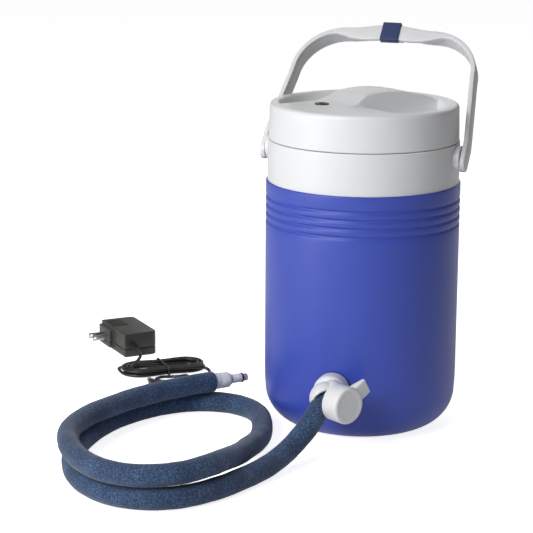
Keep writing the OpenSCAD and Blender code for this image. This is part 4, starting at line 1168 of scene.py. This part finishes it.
class THERAPY_OT_lid(bpy.types.Operator):
    """The lid's cover with its bridge, and the power socket in it"""

    bl_idname = "therapy.lid"
    bl_label = "Lid"

    def execute(self, context):
        values = settings("lid")
        rim, base = LID_RIM, LID_BASE
        top_r = 96.6 * MM
        outline = [(0, rim)]
        outline += [(r * MM, rim) for r in [k * 1.15 for k in range(1, 77)]]
        outline += [(88.6 * MM, rim), (90 * MM, rim), (91.4 * MM, rim)]
        outline += arc(top_r - 4 * MM, rim - 4 * MM, 4 * MM, 80, 0, 8)
        outline += [(96.8 * MM, rim - 12 * MM), (97.1 * MM, rim - 20 * MM), (97.4 * MM, base + 4 * MM)]
        outline += arc(LID_R - 0.8 * MM, base + 0.8 * MM, 0.8 * MM, 0, -90, 4)
        cover = spun("Lid_cover", outline, 240)
        for v in cover.data.vertices:
            r = v.co.xy.length / MM
            if r < 89 and v.co.z > rim - 1e-6:
                v.co.z = rim + MM * lid_drop(v.co.x / MM, v.co.y / MM, values.hump / MM, values.fillet / MM)
        wall = cover.modifiers.new("Wall", "SOLIDIFY")
        wall.thickness = 2.4 * MM
        wall.offset = -1
        apply_modifiers(cover)
        c, s = cos(radians(BRIDGE_TURN)), sin(radians(BRIDGE_TURN))
        jack = Vector(((JACK_X * c - JACK_Y * s) * MM, (JACK_X * s + JACK_Y * c) * MM, rim - PAD_LEVEL * MM))
        hole = rod("hole", 6.05 * MM, -0.02, 0.02, 48)
        hole.location = jack
        settle(hole)
        cut(cover, hole)
        smooth(cover, 50)
        paint(cover, MATERIALS["white"])
        ride(cover, "lid", "moulded_white", "lid_cover")

        socket = spun(
            "Power_socket",
            [(0, -10 * MM), (3.2 * MM, -10 * MM), (3.2 * MM, 0.7 * MM), (3.8 * MM, 1.1 * MM), (6.0 * MM, 1.1 * MM)]
            + arc(6.6 * MM, 0.5 * MM, 0.6 * MM, 80, 0, 4)
            + [(7.5 * MM, 0), (6.0 * MM, 0), (6.0 * MM, -14 * MM), (0, -14 * MM)],
            64,
        )
        pin = rod("pin", 1.0 * MM, -11 * MM, -1.0 * MM, 24)
        soften(pin, 0.3 * MM, 2)
        cut(socket, pin, "UNION")
        socket.location = jack
        settle(socket)
        smooth(socket, 40)
        paint(socket, MATERIALS["black"])
        ride(socket, "lid", "black_plastic", "power_jack")
        return {"FINISHED"}


# ---- Valve ----


def fused(name, parts, voxel, rounds):
    """Join parts into one skin and soften where they meet."""
    deselect()
    for part in parts:
        part.select_set(True)
    bpy.context.view_layer.objects.active = parts[0]
    bpy.ops.object.join()
    piece = named(name)
    remesh = piece.modifiers.new("Skin", "REMESH")
    remesh.mode = "VOXEL"
    remesh.voxel_size = voxel
    relax = piece.modifiers.new("Relax", "SMOOTH")
    relax.factor = 0.5
    relax.iterations = rounds
    apply_modifiers(piece)
    return piece


class THERAPY_OT_valve(bpy.types.Operator):
    """The valve's housing with its hood, and the knob with its lever"""

    bl_idname = "therapy.valve"
    bl_label = "Valve"

    def execute(self, context):
        self.housing()
        self.handle()
        return {"FINISHED"}

    def housing(self):
        drum = spun(
            "drum",
            [(0, 103.7 * MM), (16.9 * MM, 103.7 * MM), (17.3 * MM, 104.2 * MM), (17.3 * MM, 114.5 * MM)]
            + arc(11.3 * MM, 114.5 * MM, 6.0 * MM, 0, 90, 8) + [(0, 120.5 * MM)],
            96,
        )
        stand(drum, SPIGOT, SPIGOT_OUT)
        deselect()
        bpy.ops.mesh.primitive_uv_sphere_add(segments=96, ring_count=48, radius=16.6 * MM, location=HOOD)
        ball = named("ball")
        settle(ball)
        cut(drum, ball, "UNION")
        beyond = rod("beyond", 24 * MM, 3.5 * MM, 24 * MM, 64)
        recess = rod("recess", 13.8 * MM, -3.5 * MM, 6 * MM, 96)
        for tool in (beyond, recess):
            stand(tool, HOOD, MOUTH_OUT)
            cut(drum, tool)
        seat = rod("seat", 11 * MM, -27 * MM, -18 * MM, 96)
        stand(seat, KNOB, KNOB_OUT)
        arm = rod("arm", 9 * MM, 0, 27 * MM, 96)
        stand(arm, at(-34, -110, 66), heading(-72.9))
        front = rod("front", 30 * MM, -20.3 * MM, 10 * MM, 64)
        stand(front, KNOB, KNOB_OUT)
        cut(arm, seat, "UNION")
        cut(arm, front)
        housing = fused("Valve_housing", [drum, arm], 0.6 * MM, 5)
        flat = rod("flat", 40 * MM, -40 * MM, 103.5 * MM, 64)
        stand(flat, SPIGOT, SPIGOT_OUT)
        cut(housing, flat)
        bore = rod("bore", 11.2 * MM, -12 * MM, 30 * MM, 96)
        stand(bore, HOOD, HOSE_IN_HOOD)
        cut(housing, bore)
        stem = rod("stem", 6.55 * MM, -25.9 * MM, -10 * MM, 64)
        stand(stem, KNOB, KNOB_OUT)
        cut(housing, stem)
        smooth(housing, 50)
        paint(housing, MATERIALS["valve"])
        ride(housing, "jug", "moulded_white", "valve_housing")

    def handle(self):
        r = 18.5 * MM
        knob = spun(
            "Valve_handle",
            [(0, -25.4 * MM), (6.5 * MM, -25.4 * MM), (6.5 * MM, -20 * MM), (r - 0.6 * MM, -20 * MM)]
            + arc(r - 0.5 * MM, -19.5 * MM, 0.5 * MM, -90, 0, 3)
            + arc(r - 2.5 * MM, -2.5 * MM, 2.5 * MM, 0, 90, 8)
            + [(13.2 * MM, 0), (12.6 * MM, -0.25 * MM), (11.8 * MM, -0.3 * MM), (0, -0.3 * MM)],
            96,
        )
        lever = wrapped(
            "lever",
            [
                [Vector((x, y * 8.25, z)) * MM for y, z in ((-1, -3), (1, -3), (1, low), (-1, low))]
                for x, low in ((9, -13), (16.5, -13), (31, -6.5))
            ],
        )
        soften(lever, 1.2 * MM, 4, 20)
        lever.matrix_world = Matrix.Rotation(radians(30), 4, "Z")
        settle(lever)
        cut(knob, lever, "UNION")
        stand(knob, KNOB, KNOB_OUT)
        smooth(knob, 35)
        paint(knob, MATERIALS["valve"])
        ride(knob, "valve", "moulded_white", "valve_handle")


# ---- Adapter ----


def on_adapter(piece):
    turn = Matrix((ADAPTER_LONG, ADAPTER_WIDE, UP)).transposed()
    piece.matrix_world = Matrix.Translation(ADAPTER) @ turn.to_4x4()
    settle(piece)
    return piece


class THERAPY_OT_adapter(bpy.types.Operator):
    """The mains adapter: case, blades and strain relief"""

    bl_idname = "therapy.adapter"
    bl_label = "Adapter"

    def case(self, name, z0, z1):
        """Half of the case with its two round far corners."""
        corner = settings("adapter").corner
        rings = []
        l, w, c = 37.5, 20.5, 7.0
        outline = [(-l, -w), (l, -w)]
        outline += [(l - c + c * cos(radians(a)), w - c + c * sin(radians(a))) for a in range(0, 91, 9)]
        outline += [(-l + c + c * cos(radians(a)), w - c + c * sin(radians(a))) for a in range(90, 181, 9)]
        for z in (z0, z1):
            rings.append([Vector((x, y, z)) * MM for x, y in outline])
        piece = wrapped(name, rings)
        side = block("side", (34 * MM, 8 * MM, (min(25, z1) - max(3, z0)) * MM),
                     (-16 * MM, -21.5 * MM, (min(25, z1) + max(3, z0)) / 2 * MM))
        cut(piece, side, "UNION")
        bevel = piece.modifiers.new("Edges", "BEVEL")
        bevel.width = corner * 0.55
        bevel.segments = 4
        bevel.limit_method = "ANGLE"
        bevel.angle_limit = radians(40)
        apply_modifiers(piece)
        return piece

    def execute(self, context):
        cover = self.case("Adapter_cover", 9.3, 28)
        for i in range(9):
            rib = block("rib", (1.3 * MM, 19 * MM, 1.2 * MM), ((-28.4 + 3.2 * i) * MM, -9 * MM, 28.0 * MM))
            soften(rib, 0.3 * MM, 2)
            cut(cover, rib, "UNION")
        base = self.case("Adapter_base", 0, 8.9)
        for piece, cad in ((cover, "adapter_cover"), (base, "adapter_base")):
            on_adapter(piece)
            smooth(piece, 35)
            paint(piece, MATERIALS["adapter"])
            ride(piece, "jug", "adapter_black", cad)

        blades = None
        for side in (-1, 1):
            blade = block("Adapter_blades", (1.5 * MM, 31 * MM, 6.3 * MM),
                          ((-16 + side * 6.35) * MM, -27 * MM, 14 * MM))
            soften(blade, 0.45 * MM, 2)
            hole = rod("hole", 1.6 * MM, -0.01, 0.01, 32)
            stand(hole, Vector(((-16 + side * 6.35) * MM, -39.5 * MM, 14 * MM)), Vector((1, 0, 0)))
            cut(blade, hole)
            if blades is None:
                blades = blade
            else:
                deselect()
                blade.select_set(True)
                blades.select_set(True)
                bpy.context.view_layer.objects.active = blades
                bpy.ops.object.join()
        on_adapter(blades)
        smooth(blades, 35)
        paint(blades, MATERIALS["nickel"])
        ride(blades, "jug", "plug_metal", "adapter_blades")

        outline = [(0, -2 * MM), (2.9 * MM, -2 * MM), (2.9 * MM, 0), (4.4 * MM, 0.1 * MM)]
        for i in range(4):
            z, r = (1.5 + 3 * i) * MM, (4.6 - 0.35 * i) * MM
            outline += [(r - 0.7 * MM, z - 0.2 * MM), (r, z + 0.1 * MM), (r, z + 1.3 * MM), (r - 0.75 * MM, z + 1.6 * MM)]
        outline += [(2.5 * MM, 14 * MM), (0, 14 * MM)]
        relief = spun("Strain_relief", outline, 40)
        stand(relief, ADAPTER + 37.5 * MM * ADAPTER_LONG - 11.5 * MM * ADAPTER_WIDE + UP * 14 * MM, ADAPTER_LONG)
        outwards(relief)
        smooth(relief, 40)
        paint(relief, MATERIALS["cord"])
        ride(relief, "jug", "cord_black", "adapter_relief")
        return {"FINISHED"}


# ---- CAD nodes that show as they are ----

KEPT_FINISHES = {
    "foam_insulation": "foam", "inner_liner": "liner", "lid_pan": "white", "lid_insulation": "foam",
    "lid_gasket": "rubber", "lid_screws": "steel", "jack_nut": "steel", "wiring": "wire",
    "control_board": "board", "board_parts": "black", "chassis_plate": "steel", "pump_motor": "steel",
    "pump_crank": "steel", "pump_yoke": "yoke", "diaphragm": "rubber", "pump_head": "black",
    "air_tube": "silicone", "vent_coil": "coil", "vent_plunger": "steel", "spigot_shank": "valve",
    "spigot_washer": "rubber", "spigot_nut": "liner", "stem_seal": "rubber", "adapter_board": "board",
}


class THERAPY_OT_inner_parts(bpy.types.Operator):
    """Finishes for the CAD parts that stay as they are"""

    bl_idname = "therapy.inner_parts"
    bl_label = "Inner parts"

    def execute(self, context):
        for name, finish in KEPT_FINISHES.items():
            paint(nodes[name], MATERIALS[finish])
        return {"FINISHED"}


class THERAPY_PT_panel(bpy.types.Panel):
    """Lists the builder's operators and sizes"""

    bl_label = "Therapy Machine"
    bl_idname = "THERAPY_PT_panel"
    bl_space_type = "VIEW_3D"
    bl_region_type = "UI"
    bl_category = "Therapy Machine"

    def draw(self, context):
        layout = self.layout
        for operator in OPERATORS:
            layout.operator(operator.bl_idname)
        for name, group in SETTINGS.items():
            box = layout.box()
            box.label(text=name.capitalize())
            for key in group.__annotations__:
                box.prop(settings(name), key)


OPERATORS = [
    THERAPY_OT_stage, THERAPY_OT_hose, THERAPY_OT_adapter_cord, THERAPY_OT_shell, THERAPY_OT_collar,
    THERAPY_OT_bail, THERAPY_OT_lid, THERAPY_OT_valve, THERAPY_OT_adapter, THERAPY_OT_inner_parts,
]


def register():
    for name, group in SETTINGS.items():
        bpy.utils.register_class(group)
        setattr(bpy.types.Scene, "therapy_" + name, bpy.props.PointerProperty(type=group))
    for operator in OPERATORS:
        bpy.utils.register_class(operator)
    bpy.utils.register_class(THERAPY_PT_panel)


def unregister():
    bpy.utils.unregister_class(THERAPY_PT_panel)
    for operator in reversed(OPERATORS):
        bpy.utils.unregister_class(operator)
    for name, group in SETTINGS.items():
        delattr(bpy.types.Scene, "therapy_" + name)
        bpy.utils.unregister_class(group)


def main():
    register()
    bpy.ops.therapy.stage()
    bpy.ops.therapy.hose()
    bpy.ops.therapy.adapter_cord()
    bpy.ops.therapy.shell()
    bpy.ops.therapy.collar()
    bpy.ops.therapy.bail()
    bpy.ops.therapy.lid()
    bpy.ops.therapy.valve()
    bpy.ops.therapy.adapter()
    bpy.ops.therapy.inner_parts()
    deselect()


if __name__ == "__main__":
    main()
